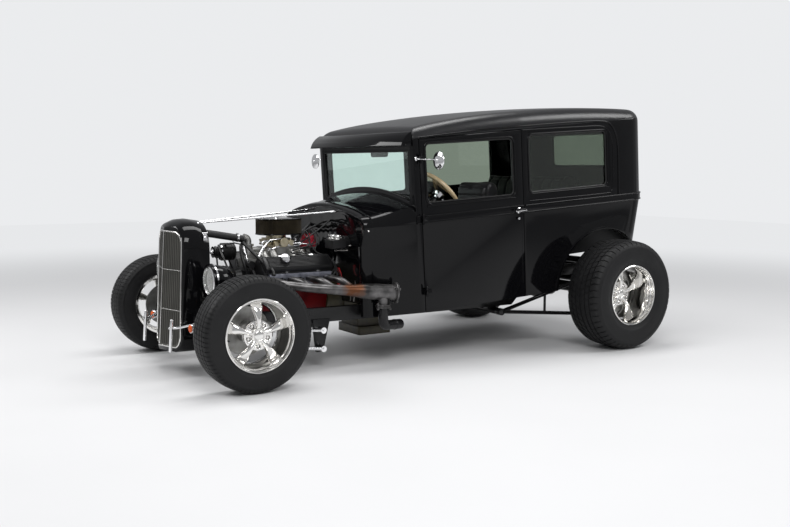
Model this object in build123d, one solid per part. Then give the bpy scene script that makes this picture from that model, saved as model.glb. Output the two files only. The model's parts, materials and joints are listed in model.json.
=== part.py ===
"""A full-size fenderless hot rod: a two-door sedan body on a bare frame, with an open V8.

All sizes are in millimetres. The datum frame has its origin on the floor under the rear axle, +X
forward, +Y left and +Z up. The body is drawn level and then raked nose-down about the rear axle
line. At the end everything is moved back along X, so that the origin is under the middle of the car.
"""

import os
from math import cos, radians, sin, sqrt

from build123d import *

# Wheels and stance
WHEELBASE = 2730.0
REAR_TYRE_R = 376.0
REAR_TYRE_W = 298.0
REAR_FACE_Y = 992.0
FRONT_TYRE_R = 325.0
FRONT_TYRE_W = 202.0
FRONT_FACE_Y = 847.0
RIM_R = 206.0
RIM_WALL = 9.0
FLANGE_H = 8.0
SPOKES = 5
STUD_PCD = 120.65
RAKE = 3.9

# Running gear
KINGPIN_Y = 560.0
KINGPIN_R = 11.0
RUN = 0.05
ARM = 110.0
LOCK = 28.0
TIE_R = 10.0
SWEEP_GAP = 5.0
ARM_Z = 322.0
BOSS_HALF = 48.0
EAR_T = 18.0
EAR_GAP = 5.0
AXLE_DROP_Z = 235.0
AXLE_TUBE_R = 28.0
DISC_R = 138.0
SPINDLE_R = 17.0
TIE_Z = 232.0
BOX_X = 2640.0
BOX_Y = 285.0
LINK_FACE = 402.0
LINK_Y = 426.0
LINK_X = 2118.0
LINK_TOP_Z = 243.0
LINK_LOW_Z = 128.0
LINK_TOP_AXLE_Z = 286.0
LINK_LOW_AXLE_Z = 192.0
SPRING_Y = 385.0
SPRING_END_Z = 288.0
LADDER_X = 776.0
LADDER_Y = 478.0
LADDER_Z = 263.0
LADDER_AXLE_LOW = 172.0
LADDER_AXLE_TOP = 470.0
DRUM_W = 115.0
COIL_Y = 440.0
COIL_LOW = 300.0
TRANS_Z = 360.0
TRANS_PAN_LOW = 130.0

# Frame
RAIL_TOP = 376.0
RAIL_DEPTH = 88.0
RAIL_OUT = 402.0
RAIL_W = 50.0
RAIL_NOSE_OUT = 345.0
RAIL_NOSE_X = 2900.0
RAIL_PINCH_X = 1900.0
KICK_X = 620.0
KICK_UP = 170.0
KICK_RUN = 190.0
NOSE_RISE = 37.0
RAIL_TAIL_X = -330.0
MOUNT_HALF = 26.0
BRACKET_HOLE_R = 6.5
BRACKET_HOLE_DEPTH = 30.0
BRACKET_HOLE_PITCH = 40.0

# Body, in its own level frame
WALL = 30.0
SILL_Z = 425.0
BELT_Z = 1005.0
BAND_LOW = 990.0
BAND_TOP = 1042.0
BAND_PROUD = 6.0
FIREWALL_X = 1820.0
POST_X = 1480.0
DOOR_FRONT_X = 1440.0
DOOR_REAR_X = 649.0
DOOR_GAP = 5.0
POST_HALF = 600.0
B_HALF = 655.0
TAIL_HALF = 660.0
TAIL_X = -535.0
TAIL_TUCK = 135.0
SILL_TUCK = 12.0
CORNER_R = 160.0
ROOF_R = 88.0
DRIP_FRONT_Z = 1522.0
DRIP_REAR_Z = 1567.0
FLOOR_Z = 507.0
FLOOR_T = 18.0
REAR_FLOOR_Z = 650.0
REAR_STEP_X = 620.0

# Windows, in the body's level frame
SCREEN_HALF = 556.0
SCREEN_LOW = 1107.0
SCREEN_ARCH = 80.0
SCREEN_TOP = 1467.0
SIDE_LOW = 1114.0
SIDE_TOP = 1494.0
DOOR_GLASS_FRONT = 1392.0
DOOR_GLASS_REAR = 720.0
QUARTER_FRONT = 592.0
QUARTER_REAR = -120.0
GLASS_T = 6.0
GLASS_IN = 14.0
PANE_CORNER = 34.0
REAR_PANE_HALF = 340.0
REAR_PANE_LOW = 1225.0
REAR_PANE_TOP = 1475.0
SCREEN_RIM = 24.0

# Cowl, in the body's level frame
COWL_T = 25.0
COWL_WAIST_Z = 870.0
COWL_BELT_Z = 990.0
COWL_LOW_HALF = 445.0
COWL_WAIST_HALF = 470.0
COWL_BELT_HALF = 526.0
COWL_SHOULDER_HALF = 452.0
COWL_SHOULDER_Z = 1055.0
COWL_CROWN_Z = 1122.0
COWL_LIP = 7.0
COWL_LIP_W = 58.0
FIREWALL_T = 24.0
DASH_Z = 1062.0
DASH_LOW_Z = 890.0
DASH_DEPTH = 64.0
DASH_INSET = 45.0
VISOR_X = 1562.0
VISOR_Z = 1483.0
VISOR_HALF = 590.0
HOUSE_Y = 545.0
TUNNEL_R = 205.0
TUNNEL_END = 1255.0

# Seats, in the body's level frame
SEAT_X = 770.0
SEAT_Y = 300.0
BENCH_X = 60.0
WHEEL_Y = 345.0
STEER_R = 190.0
HINGE_Y = 622.0
HINGE_R = 8.0
HINGE_PIN_R = 4.0
HINGE_HALF = 30.0
HINGE_MID = 12.0
HINGE_GAP = 0.3

# Rear arch, in the datum frame
ARCH_X = -50.0
ARCH_Z = 365.0
ARCH_R = 450.0
ARCH_LIP = 16.0

# Engine
ENGINE_FRONT = 2450.0
ENGINE_REAR = 1945.0
CRANK_Z = 408.0
DECK = 229.0
HEAD_H = 92.0
HEAD_W = 150.0
COVER_H = 66.0
COVER_W = 124.0
PAN_LOW = 205.0
INTAKE_TOP = 735.0
VALLEY_HALF = 104.0
CARB_X = 2225.0
FILTER_X0 = 2069.0
FILTER_X1 = 2377.0
FILTER_LOW = 812.0
FILTER_TOP = 915.0
ALT_X = 2465.0
ALT_Y = -112.0
ALT_Z = 706.0
HEADER_FRONT_X = 2425.0
PORT_Y = 292.0
PORT_Z = 552.0
PIPE_R = 28.0
CUFF_R = 29.5
CUFF_LENGTH = 70.0
CUFF_WALL = 3.0

# Grille shell
SHELL_REAR = 2762.0
SHELL_TOP = 929.0
INSERT_LOW = 176.0
INSERT_TOP = 858.0
INSERT_HALF = 196.0
BAR_PITCH = 18.0
BAR_W = 7.0
SHELL_LOW = 148.0
SHELL_T = 14.0
NOSE_X = 3003.0
NOSE_LEAN = 48.0
EDGE_X = 2946.0
EDGE_Y = 205.0
INSERT_T = 12.0
CORE_HALF = 176.0
CORE_TOP = 790.0
CORE_BACK = 2778.0
CORE_FRONT = 2822.0
SEAM_LOW = 395.0
SEAM_HIGH = 632.0
# x, half-width and top of each section of the shell
SHELL_SECTIONS = (
    (SHELL_REAR, 220.0, SHELL_TOP - 12),
    (2838.0, 224.0, SHELL_TOP),
    (2890.0, 222.0, SHELL_TOP - 4),
    (2930.0, 218.0, SHELL_TOP - 21),
    (2963.0, 214.0, SHELL_TOP - 53),
    (3030.0, 212.0, SHELL_TOP - 149),
)
NERF_Y = 228.0

pieces = {}


def box(x0, x1, y0, y1, z0, z1):
    """A block between two corners."""
    size = (abs(x1 - x0), abs(y1 - y0), abs(z1 - z0))
    return Pos((x0 + x1) / 2, (y0 + y1) / 2, (z0 + z1) / 2) * Box(*size)


def along(p, q):
    """The plane at p whose normal points to q, and the distance."""
    start, end = Vector(*p), Vector(*q)
    return Plane(origin=start, z_dir=end - start), (end - start).length


def rod(p, q, r, r_end=None):
    """A round bar or a cone from p to q."""
    plane, length = along(p, q)
    if r_end is None or r_end == r:
        return plane * Cylinder(r, length, align=(Align.CENTER, Align.CENTER, Align.MIN))
    return plane * Cone(r, r_end, length, align=(Align.CENTER, Align.CENTER, Align.MIN))


def pipe(points, bend, r, bore=0.0):
    """A bent round tube through points, with one bend radius."""
    path = FilletPolyline(*points, radius=bend)
    start = Plane(origin=path @ 0, z_dir=path % 0)
    section = Circle(r) if bore <= 0 else Circle(r) - Circle(bore)
    return sweep(start * section, path=path)


def disc(x, y, z, r, width, hole=0.0):
    """A round plate across the car, from y to y + width."""
    out = rod((x, y, z), (x, y + width, z), r)
    return out if hole <= 0 else out - rod((x, y - 1, z), (x, y + width + 1, z), hole)


def other_side(shape):
    return mirror(shape, about=Plane.XZ)


def pair(shape):
    """The shape on the left and its mirror on the right."""
    return Compound(children=[*shape.solids(), *other_side(shape).solids()])


def raked(shape):
    return Rot(0, RAKE, 0) * shape


def rake_point(x, y, z):
    """Datum coordinates of a point given in the body's level frame."""
    c, s = cos(radians(RAKE)), sin(radians(RAKE))
    return (x * c + z * s, y, -x * s + z * c)


def prism(face_points, y0, y1):
    """A side profile of (x, z) points, extruded across the car from y0 to y1."""
    wire = Polyline(*[(x, y0, z) for x, z in face_points], close=True)
    return extrude(make_face(wire), amount=y1 - y0, dir=(0, 1, 0))



# Wheels: one dress of tyre, rim and spokes for each axle


def tyre(face_y, width, outer, lip, inset):
    """A tyre turned about the axle, with a flat tread, round shoulders and full side walls."""
    middle = face_y - width / 2
    seat = RIM_R - FLANGE_H
    rise = 0.5 * (outer - RIM_R)
    half = width / 2
    shoulder = 0.22 * width
    drop = 0.05 * width
    with BuildSketch(Plane.YZ) as profile:
        with BuildLine():
            for way in (1, -1):
                bead = (middle + way * (half - inset), seat)
                wide = (middle + way * half, RIM_R + rise)
                edge = (middle + way * (half - shoulder * 0.45), outer - drop)
                tread = (middle + way * (half - shoulder), outer)
                Line((middle, seat), bead)
                TangentArc(wide, bead, tangent=(0, -1))
                TangentArc(wide, edge, tangent=(0, 1))
                ThreePointArc(edge, (edge[0] - way * shoulder * 0.22, outer - drop * 0.34), tread)
                Line(tread, (middle, outer))
        make_face()
    turned = revolve(profile.sketch, axis=Axis.Y)
    inner = 2 * middle - lip
    turned -= disc(0, lip - RIM_WALL, 0, RIM_R, width)
    return turned - disc(0, inner + RIM_WALL - width, 0, RIM_R, width)


def rim(inner_y, lip_y, seat, drop_y):
    """The rim barrel: two flanges, a bead seat and a drop centre."""
    t = RIM_WALL
    outer = [
        (inner_y, RIM_R),
        (inner_y + t, RIM_R),
        (inner_y + t, seat),
        (inner_y + 40, seat),
        (drop_y - 30, seat - 22),
        (drop_y, seat - 22),
        (drop_y + 22, seat),
        (lip_y - t, seat),
        (lip_y - t, RIM_R),
        (lip_y, RIM_R),
    ]
    inner = [
        (lip_y, seat + 2),
        (lip_y - 2 * t, seat - t),
        (drop_y + 24, seat - t),
        (drop_y + 2, seat - 22 - t),
        (drop_y - 32, seat - 22 - t),
        (inner_y + 38, seat - t),
        (inner_y, seat - t),
    ]
    points = [(0, y, z) for y, z in outer + inner]
    face = make_face(Polyline(*points, close=True))
    return revolve(face, axis=Axis.Y)


def spider(back_y, face_y, reach):
    """Five tapered spokes round a hub with stud wells and a round cap."""
    hub = disc(0, back_y, 0, 84, face_y - back_y - 12)
    arm = None
    for turn in range(SPOKES):
        # stations from hub to rim: radius, half width, back and front
        stations = [(60, 30, back_y, face_y - 10), (reach, 17, back_y + 4, face_y - 34)]
        faces = []
        for r, half, y0, y1 in stations:
            wire = Polyline(
                (-half, y0, r),
                (half, y0, r),
                (half * 0.62, y1, r),
                (-half * 0.62, y1, r),
                close=True,
            )
            faces.append(make_face(wire))
        spoke = Rot(0, turn * 360 / SPOKES, 0) * loft(faces, ruled=True)
        arm = spoke if arm is None else arm + spoke
    web = hub + arm
    for turn in range(SPOKES):
        angle = radians((turn + 0.5) * 360 / SPOKES)
        x, z = STUD_PCD / 2 * sin(angle), STUD_PCD / 2 * cos(angle)
        web -= rod((x, back_y + 12, z), (x, face_y, z), 15)
        web += rod((x, back_y, z), (x, face_y - 22, z), 9.5)
    cap = rod((0, face_y - 20, 0), (0, face_y - 2, 0), 40, 34)
    return web + cap


def wheel(name, x, radius, face_y, width, lip_inset, spoke_inset, side):
    """One wheel: its tyre and its polished rim with spokes, hub and stud heads."""
    seat = RIM_R - FLANGE_H
    lip = face_y - lip_inset
    inner = face_y - width + lip_inset
    drop = inner + 0.45 * (lip - inner)
    rubber = tyre(face_y, width, radius, lip, lip_inset)
    metal = rim(inner, lip, seat, drop)
    face = lip - spoke_inset
    metal += spider(face - 46, face, seat - RIM_WALL + 3)
    place = Pos(x, 0, radius)
    for node, shape in (("tyre", rubber), ("rim", metal)):
        left = place * shape
        pieces[f"{node}_{name}"] = left if side > 0 else other_side(left)
    return face - 46


rear_hub_y = wheel("rear_left", 0, REAR_TYRE_R, REAR_FACE_Y, REAR_TYRE_W, 16, 105, 1)
wheel("rear_right", 0, REAR_TYRE_R, REAR_FACE_Y, REAR_TYRE_W, 16, 105, -1)
front_hub_y = wheel("front_left", WHEELBASE, FRONT_TYRE_R, FRONT_FACE_Y, FRONT_TYRE_W, 5, 12, 1)
wheel("front_right", WHEELBASE, FRONT_TYRE_R, FRONT_FACE_Y, FRONT_TYRE_W, 5, 12, -1)


# Body shell, drawn level: the lower body tapers to the sill, the upper body is upright


def plan(z, grow=0.0):
    """The body's outline seen from above at height z, grown outwards by grow."""
    low = max(0.0, (BELT_Z - z) / (BELT_Z - SILL_Z))
    tuck = SILL_TUCK * low
    tail = TAIL_X + TAIL_TUCK * low - grow
    r = CORNER_R + grow
    post, b, side = (half - tuck + grow for half in (POST_HALF, B_HALF, TAIL_HALF))
    turn = r * sqrt(0.5)
    with BuildLine(Plane.XY.offset(z)) as outline:
        for way in (1, -1):
            corner = (tail + r, way * (side - r))
            Line((POST_X, 0), (POST_X, way * post))
            Line((POST_X, way * post), (DOOR_REAR_X, way * b))
            Line((DOOR_REAR_X, way * b), (tail + r, way * side))
            middle = (corner[0] - turn, corner[1] + way * turn)
            ThreePointArc((tail + r, way * side), middle, (tail, corner[1]))
            Line((tail, corner[1]), (tail, 0))
    return make_face(outline.line)


def upright(z0, z1, grow=0.0):
    """The plan above the belt, raised from z0 to z1."""
    return extrude(Pos(0, 0, z0 - BELT_Z) * plan(BELT_Z, grow), amount=z1 - z0)


def roof_form(drop=0.0):
    """The space under the roof skin: a crowned top lofted through a few cross sections."""
    # stations along the car: x, height of the roof at the side, crown at the middle
    stations = [
        (POST_X + 20, 1571, 1592),
        (1024, 1636, 1660),
        (410, 1660, 1686),
        (-100, 1650, 1678),
        (TAIL_X - 20, 1618, 1644),
    ]
    half = TAIL_HALF + 60
    faces = []
    for x, edge, crown in stations:
        plane = Plane(origin=(x, 0, 0), x_dir=(0, 1, 0), z_dir=(1, 0, 0))
        with BuildLine(plane) as ring:
            Polyline((half, edge - drop), (half, SILL_Z), (-half, SILL_Z), (-half, edge - drop))
            ThreePointArc((-half, edge - drop), (0, crown - drop), (half, edge - drop))
        faces.append(make_face(ring.line))
    return loft(faces)


def whole(grow):
    """The full closed body form, grown outwards by grow (negative for the inside)."""
    low = loft([plan(SILL_Z, grow), plan(BELT_Z, grow)], ruled=True)
    high = upright(BELT_Z, 1800, grow) & roof_form(-grow)
    rim_edges = [e for e in high.edges() if e.center().Z > 1580]
    high = fillet(rim_edges, ROOF_R + min(grow, 0))
    return low + high


def drip_z(x):
    """Height of the line where the roof meets the sides and the doors."""
    share = (POST_X - x) / (POST_X - QUARTER_REAR)
    return DRIP_FRONT_Z + share * (DRIP_REAR_Z - DRIP_FRONT_Z)


outside = whole(0.0)
outside += upright(BAND_LOW, BAND_TOP, BAND_PROUD)

inside = whole(-WALL)
shell = outside - inside
shell += outside & box(POST_X - WALL, POST_X, -900, 900, DASH_Z, 1800)


def drip_cut(grow=0.0):
    """Everything below the drip line, moved up by grow."""
    x0, x1 = TAIL_X - 100, POST_X + 200
    top = [(x1, 0), (x1, drip_z(x1) + grow), (x0, drip_z(x0) + grow), (x0, 0)]
    return prism(top, -1000, 1000)


def pane(x0, x1, z0, z1, corner, y0, y1):
    """A rounded window opening seen from the side, through y0 to y1."""
    flat = Plane(origin=((x0 + x1) / 2, y0, (z0 + z1) / 2), x_dir=(1, 0, 0), z_dir=(0, 1, 0))
    return extrude(flat * RectangleRounded(abs(x1 - x0), abs(z1 - z0), corner), amount=y1 - y0)


below = shell & drip_cut()
door_zone = box(DOOR_REAR_X, DOOR_FRONT_X, 300, 900, SILL_Z - 5, 1700)
door_inner = box(DOOR_REAR_X + DOOR_GAP, DOOR_FRONT_X - DOOR_GAP, 300, 900, SILL_Z - 5, 1700)
door_hole = pane(DOOR_GLASS_REAR, DOOR_GLASS_FRONT, SIDE_LOW, SIDE_TOP - 4, PANE_CORNER, 500, 800)
door = (shell & drip_cut(-DOOR_GAP) & door_inner) - door_hole
fixed = below - door_zone - other_side(door_zone)
posts = fixed & box(DOOR_FRONT_X, POST_X + 10, -900, 900, 0, 1800)
tub = fixed & box(TAIL_X - 100, DOOR_REAR_X, -900, 900, 0, 1800)
quarter_hole = pane(QUARTER_REAR, QUARTER_FRONT, SIDE_LOW + 4, SIDE_TOP + 8, PANE_CORNER, 500, 800)
tub -= quarter_hole
tub -= other_side(quarter_hole)
arch_x = ARCH_X * cos(radians(RAKE)) - ARCH_Z * sin(radians(RAKE))
arch_z = ARCH_X * sin(radians(RAKE)) + ARCH_Z * cos(radians(RAKE))
arch = disc(arch_x, -900, arch_z, ARCH_R, 1800)
lip = disc(arch_x, TAIL_HALF - 20, arch_z, ARCH_R + ARCH_LIP, 28)
lip &= extrude(plan(SILL_Z, 12), amount=500) & box(TAIL_X, 1000, 0, 900, SILL_Z, 1000)
tub += lip
tub += other_side(lip)
tub -= arch
rear_flat = Plane(origin=(TAIL_X - 50, 0, (REAR_PANE_LOW + REAR_PANE_TOP) / 2), x_dir=(0, 1, 0), z_dir=(1, 0, 0))
rear_hole = extrude(rear_flat * RectangleRounded(2 * REAR_PANE_HALF, REAR_PANE_TOP - REAR_PANE_LOW, 40), amount=200)
tub -= rear_hole
roof = shell - drip_cut()

# The windscreen: an opening with an arched foot, its frame and its glass


def screen_form(inset, x0, x1):
    """The windscreen's outline, pulled in by inset, from x0 to x1."""
    half, low, top = SCREEN_HALF - inset, SCREEN_LOW + inset, SCREEN_TOP - inset
    plane = Plane(origin=(x0, 0, 0), x_dir=(0, 1, 0), z_dir=(1, 0, 0))
    with BuildLine(plane) as ring:
        Polyline((half, low), (half, top), (-half, top), (-half, low))
        ThreePointArc((-half, low), (0, low + SCREEN_ARCH), (half, low))
    return extrude(make_face(ring.line), amount=x1 - x0)


posts -= screen_form(0, POST_X - WALL - 5, POST_X + 5)
roof -= screen_form(0, POST_X - WALL - 5, POST_X + 5)
screen_frame = screen_form(0, POST_X - 24, POST_X - 2) - screen_form(SCREEN_RIM, POST_X - 30, POST_X + 5)
screen_glass = screen_form(SCREEN_RIM, POST_X - 16, POST_X - 16 + GLASS_T)

# Cowl: lofted from the firewall to the windscreen posts


def cowl_shape(x):
    """Low half, waist half, belt half, shoulder half, shoulder height and crown height at x."""
    share = (FIREWALL_X - x) / (FIREWALL_X - POST_X)
    front = (COWL_LOW_HALF, COWL_WAIST_HALF, COWL_BELT_HALF, COWL_SHOULDER_HALF, COWL_SHOULDER_Z, COWL_CROWN_Z)
    rear = (POST_HALF - SILL_TUCK, POST_HALF - 3, POST_HALF, POST_HALF - 28, SCREEN_LOW - 7, SCREEN_LOW + SCREEN_ARCH)
    return [a + share * (b - a) for a, b in zip(front, rear)]


def cowl_section(x, inset):
    """One closed cross section of the cowl, pulled in by inset."""
    low, waist, belt, shoulder, shoulder_z, crown = cowl_shape(x)
    floor = SILL_Z if inset <= 0 else SILL_Z - 60
    low, waist, belt = low - inset, waist - inset, belt - inset
    shoulder, shoulder_z, crown = shoulder - inset, shoulder_z - inset, crown - inset
    plane = Plane(origin=(x, 0, 0), x_dir=(0, 1, 0), z_dir=(1, 0, 0))
    with BuildLine(plane) as ring:
        for way in (1, -1):
            Polyline((0, floor), (way * low, floor), (way * waist, COWL_WAIST_Z), (way * belt, COWL_BELT_Z))
            mid = (way * (belt - (belt - shoulder) * 0.3), shoulder_z - (shoulder_z - COWL_BELT_Z) * 0.3)
            ThreePointArc((way * belt, COWL_BELT_Z), mid, (way * shoulder, shoulder_z))
        ThreePointArc((shoulder, shoulder_z), (0, crown), (-shoulder, shoulder_z))
    return make_face(ring.line)


def cowl_form(x0, x1, inset):
    return loft([cowl_section(x0, inset), cowl_section(x1, inset)], ruled=True)


cowl = cowl_form(FIREWALL_X, POST_X, 0)
cowl += cowl_form(FIREWALL_X, FIREWALL_X - COWL_LIP_W, -COWL_LIP)
cowl -= cowl_form(FIREWALL_X + 1, POST_X - 1, COWL_T)
firewall = cowl_form(FIREWALL_X + 1, POST_X - 1, COWL_T - 3)
firewall &= box(FIREWALL_X - FIREWALL_T, FIREWALL_X - 4, -900, 900, FLOOR_Z, 1400)

# Floor, wheel houses and transmission tunnel, in the body's level frame

inner_edge = WALL + 0.3
low_floor = extrude(plan(FLOOR_Z, -inner_edge), amount=FLOOR_T) & box(REAR_STEP_X, POST_X, -900, 900, 0, 1000)
low_floor -= box(DOOR_REAR_X - 12, POST_X + 1, POST_HALF - SILL_TUCK - WALL - 12, 900, 0, 1000)
low_floor -= other_side(box(DOOR_REAR_X - 12, POST_X + 1, POST_HALF - SILL_TUCK - WALL - 12, 900, 0, 1000))
toe_x = FIREWALL_X - FIREWALL_T
toe_half = cowl_shape(toe_x)[0] - COWL_T - 1
post_half = cowl_shape(POST_X)[0] - COWL_T - 1
toe = [(POST_X, -post_half), (POST_X, post_half), (toe_x, toe_half), (toe_x, -toe_half)]
toe_face = make_face(Polyline(*[(x, y, FLOOR_Z) for x, y in toe], close=True))
low_floor += extrude(toe_face, amount=FLOOR_T, dir=(0, 0, 1))
high_floor = extrude(plan(REAR_FLOOR_Z, -inner_edge), amount=FLOOR_T)
high_floor &= box(-900, REAR_STEP_X + FLOOR_T, -900, 900, 0, 1000)
riser_half = TAIL_HALF - SILL_TUCK - WALL - 8
riser = box(REAR_STEP_X, REAR_STEP_X + FLOOR_T, -riser_half, riser_half, FLOOR_Z, REAR_FLOOR_Z)
floor_pan = low_floor + high_floor + riser
house = disc(arch_x, HOUSE_Y, arch_z, ARCH_R + 6 + FLOOR_T, TAIL_HALF - WALL - HOUSE_Y)
house -= disc(arch_x, HOUSE_Y + FLOOR_T, arch_z, ARCH_R + 6, 300)
house &= loft([plan(SILL_Z, -inner_edge), plan(BELT_Z, -inner_edge)], ruled=True)
house &= box(-900, 900, 0, 900, REAR_FLOOR_Z, 1000)
house_hole = disc(arch_x, HOUSE_Y + FLOOR_T, arch_z, ARCH_R + 6, 300)
floor_pan -= house_hole
floor_pan -= other_side(house_hole)
floor_pan += house
floor_pan += other_side(house)
tunnel_run = ((toe_x + 20, 0, FLOOR_Z - 12), (TUNNEL_END, 0, FLOOR_Z - 70))
tunnel = rod(*tunnel_run, TUNNEL_R, TUNNEL_R * 0.7) & box(0, toe_x, -400, 400, FLOOR_Z, 1000)
tunnel_hole = rod(*tunnel_run, TUNNEL_R - FLOOR_T, TUNNEL_R * 0.7 - FLOOR_T)
floor_pan = (floor_pan + tunnel) - tunnel_hole
firewall -= rod((toe_x - 5, 0, FLOOR_Z - 12), (FIREWALL_X + 5, 0, FLOOR_Z - 12), TUNNEL_R - FLOOR_T)

# Glass and the sun visor

side_glass = upright(BELT_Z, 1600, -GLASS_IN) - upright(BELT_Z, 1600, -GLASS_IN - GLASS_T)
quarter_glass = side_glass & quarter_hole
rear_glass = extrude(
    Plane(origin=(TAIL_X + 18, 0, rear_flat.origin.Z), x_dir=(0, 1, 0), z_dir=(1, 0, 0))
    * RectangleRounded(2 * REAR_PANE_HALF, REAR_PANE_TOP - REAR_PANE_LOW, 40),
    amount=GLASS_T,
)
door_glass = side_glass & door_hole

with BuildSketch(Plane.XZ) as visor_side:
    with BuildLine():
        Polyline((VISOR_X, VISOR_Z), (VISOR_X - 14, VISOR_Z - 2))
        ThreePointArc((VISOR_X - 14, VISOR_Z - 2), (POST_X + 30, VISOR_Z + 50), (POST_X, VISOR_Z + 66))
        Line((POST_X, VISOR_Z + 66), (POST_X, VISOR_Z + 84))
        ThreePointArc((POST_X, VISOR_Z + 84), (POST_X + 36, VISOR_Z + 64), (VISOR_X, VISOR_Z))
    make_face()
visor = Pos(0, VISOR_HALF, 0) * extrude(visor_side.sketch, amount=2 * VISOR_HALF)
with BuildSketch(Plane.XZ) as visor_end:
    with BuildLine():
        ThreePointArc((VISOR_X - 14, VISOR_Z - 2), (POST_X + 30, VISOR_Z + 50), (POST_X, VISOR_Z + 66))
        Polyline((POST_X, VISOR_Z + 66), (POST_X, VISOR_Z - 2), (VISOR_X - 14, VISOR_Z - 2))
    make_face()
cheek = Pos(0, VISOR_HALF, 0) * extrude(visor_end.sketch, amount=8)
visor += cheek
visor += Pos(0, -2 * VISOR_HALF + 8, 0) * cheek

# Seats, dash and steering column, in the body's level frame


def seat(x, y, width, foot):
    """A bucket seat: cushion and leaning back on a plain riser."""
    cushion = fillet(box(x, x + 470, y - width / 2, y + width / 2, foot + 60, foot + 230).edges(), 40)
    back_profile = [(x - 10, foot + 120), (x + 120, foot + 140), (x + 10, foot + 720), (x - 90, foot + 700)]
    back = Pos(0, y - width / 2, 0) * prism(back_profile, 0, width)
    back = fillet(back.edges().filter_by(Axis.Y), 30)
    rails = box(x + 40, x + 420, y - width / 2 + 40, y + width / 2 - 40, foot, foot + 60)
    return cushion + back + rails


seat_front = seat(SEAT_X, SEAT_Y, 500, FLOOR_Z + FLOOR_T)
bench_foot = REAR_FLOOR_Z + FLOOR_T
bench = fillet(box(BENCH_X, BENCH_X + 440, -500, 500, bench_foot, bench_foot + 140).edges(), 35)
bench_back = prism(
    [(BENCH_X - 10, bench_foot), (BENCH_X + 110, bench_foot + 120), (BENCH_X + 10, bench_foot + 560),
     (BENCH_X - 100, bench_foot + 540), (BENCH_X - 90, bench_foot)], -500, 500,
)
bench += bench_back
dash = Pos(-DASH_DEPTH - WALL, 0, 0) * extrude(cowl_section(POST_X, DASH_INSET), amount=DASH_DEPTH)
dash &= box(1000, 2000, -900, 900, DASH_LOW_Z, 1300)

# Group the body pieces in the datum frame
body_pieces = {
    "cowl": cowl,
    "firewall": firewall,
    "windscreen_posts": posts,
    "body_tub": tub,
    "roof": roof,
    "visor": visor,
    "windscreen_frame": screen_frame,
    "windscreen_glass": screen_glass,
    "quarter_glass": pair(quarter_glass),
    "rear_glass": rear_glass,
    "floor_pan": floor_pan,
    "front_seats": pair(seat_front),
    "rear_bench": bench,
    "dash": dash,
    "door_left": door,
    "door_right": other_side(door),
    "door_glass_right": other_side(door_glass),
}
for name, piece in body_pieces.items():
    pieces[name] = raked(piece)


# Frame: two rails pinched to the nose, kicked up over the rear axle, with crossmembers


def rail_out(x):
    """Half-width over the rails at x."""
    share = max(0.0, (x - RAIL_PINCH_X) / (RAIL_NOSE_X - RAIL_PINCH_X))
    return RAIL_OUT - share * (RAIL_OUT - RAIL_NOSE_OUT)


rail_low = RAIL_TOP - RAIL_DEPTH
side_view = [
    (RAIL_NOSE_X, rail_low + NOSE_RISE),
    (RAIL_NOSE_X, RAIL_TOP),
    (KICK_X, RAIL_TOP),
    (KICK_X - KICK_RUN, RAIL_TOP + KICK_UP),
    (RAIL_TAIL_X, RAIL_TOP + KICK_UP),
    (RAIL_TAIL_X, rail_low + KICK_UP + 10),
    (KICK_X - KICK_RUN - 10, rail_low + KICK_UP + 10),
    (KICK_X - 20, rail_low),
    (RAIL_NOSE_X - 450, rail_low),
    (RAIL_NOSE_X - 270, rail_low + NOSE_RISE),
]
plan_view = [
    (RAIL_TAIL_X - 10, RAIL_OUT),
    (RAIL_PINCH_X, RAIL_OUT),
    (RAIL_NOSE_X + 10, rail_out(RAIL_NOSE_X + 10)),
    (RAIL_NOSE_X + 10, rail_out(RAIL_NOSE_X + 10) - RAIL_W),
    (RAIL_PINCH_X, RAIL_OUT - RAIL_W),
    (RAIL_TAIL_X - 10, RAIL_OUT - RAIL_W),
]
plan_face = make_face(Polyline(*[(x, y, 0) for x, y in plan_view], close=True))
rail = prism(side_view, 0, 500) & extrude(plan_face, amount=900, dir=(0, 0, 1))
span = RAIL_OUT - RAIL_W + 5
spring_span = rail_out(WHEELBASE) - RAIL_W + 4
frame = rail + other_side(rail)
# crossmembers: x from, x to, half span, z from, z to
crossmembers = [
    (WHEELBASE - 27, WHEELBASE + 27, spring_span, RAIL_TOP - 34, RAIL_TOP),
    (1360, 1410, span, rail_low, rail_low + 40),
    (900, 940, span, rail_low, rail_low + 34),
    (-150, -100, COIL_Y + 25, RAIL_TOP + KICK_UP, RAIL_TOP + KICK_UP + 38),
    (RAIL_TAIL_X, RAIL_TAIL_X + 40, span, RAIL_TOP + KICK_UP - 60, RAIL_TOP + KICK_UP),
]
for x0, x1, half, z0, z1 in crossmembers:
    frame += box(x0, x1, -half, half, z0, z1)
# hangers: the front links' plates, the ladder bars' cross tube and its pads, the lamp and bumper ends
plate = [(2055, rail_low + 20), (2175, rail_low + 20), (2150, LINK_LOW_Z - 22), (2104, LINK_LOW_Z - 22)]
hanger = prism(plate, RAIL_OUT - 20, LINK_FACE)
hanger += box(LADDER_X - 35, LADDER_X + 35, RAIL_OUT - RAIL_W, RAIL_OUT, LADDER_Z, rail_low + 5)
frame += hanger
frame += other_side(hanger)
frame += rod((LADDER_X, -LADDER_Y + 14, LADDER_Z), (LADDER_X, LADDER_Y - 14, LADDER_Z), 22)
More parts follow.
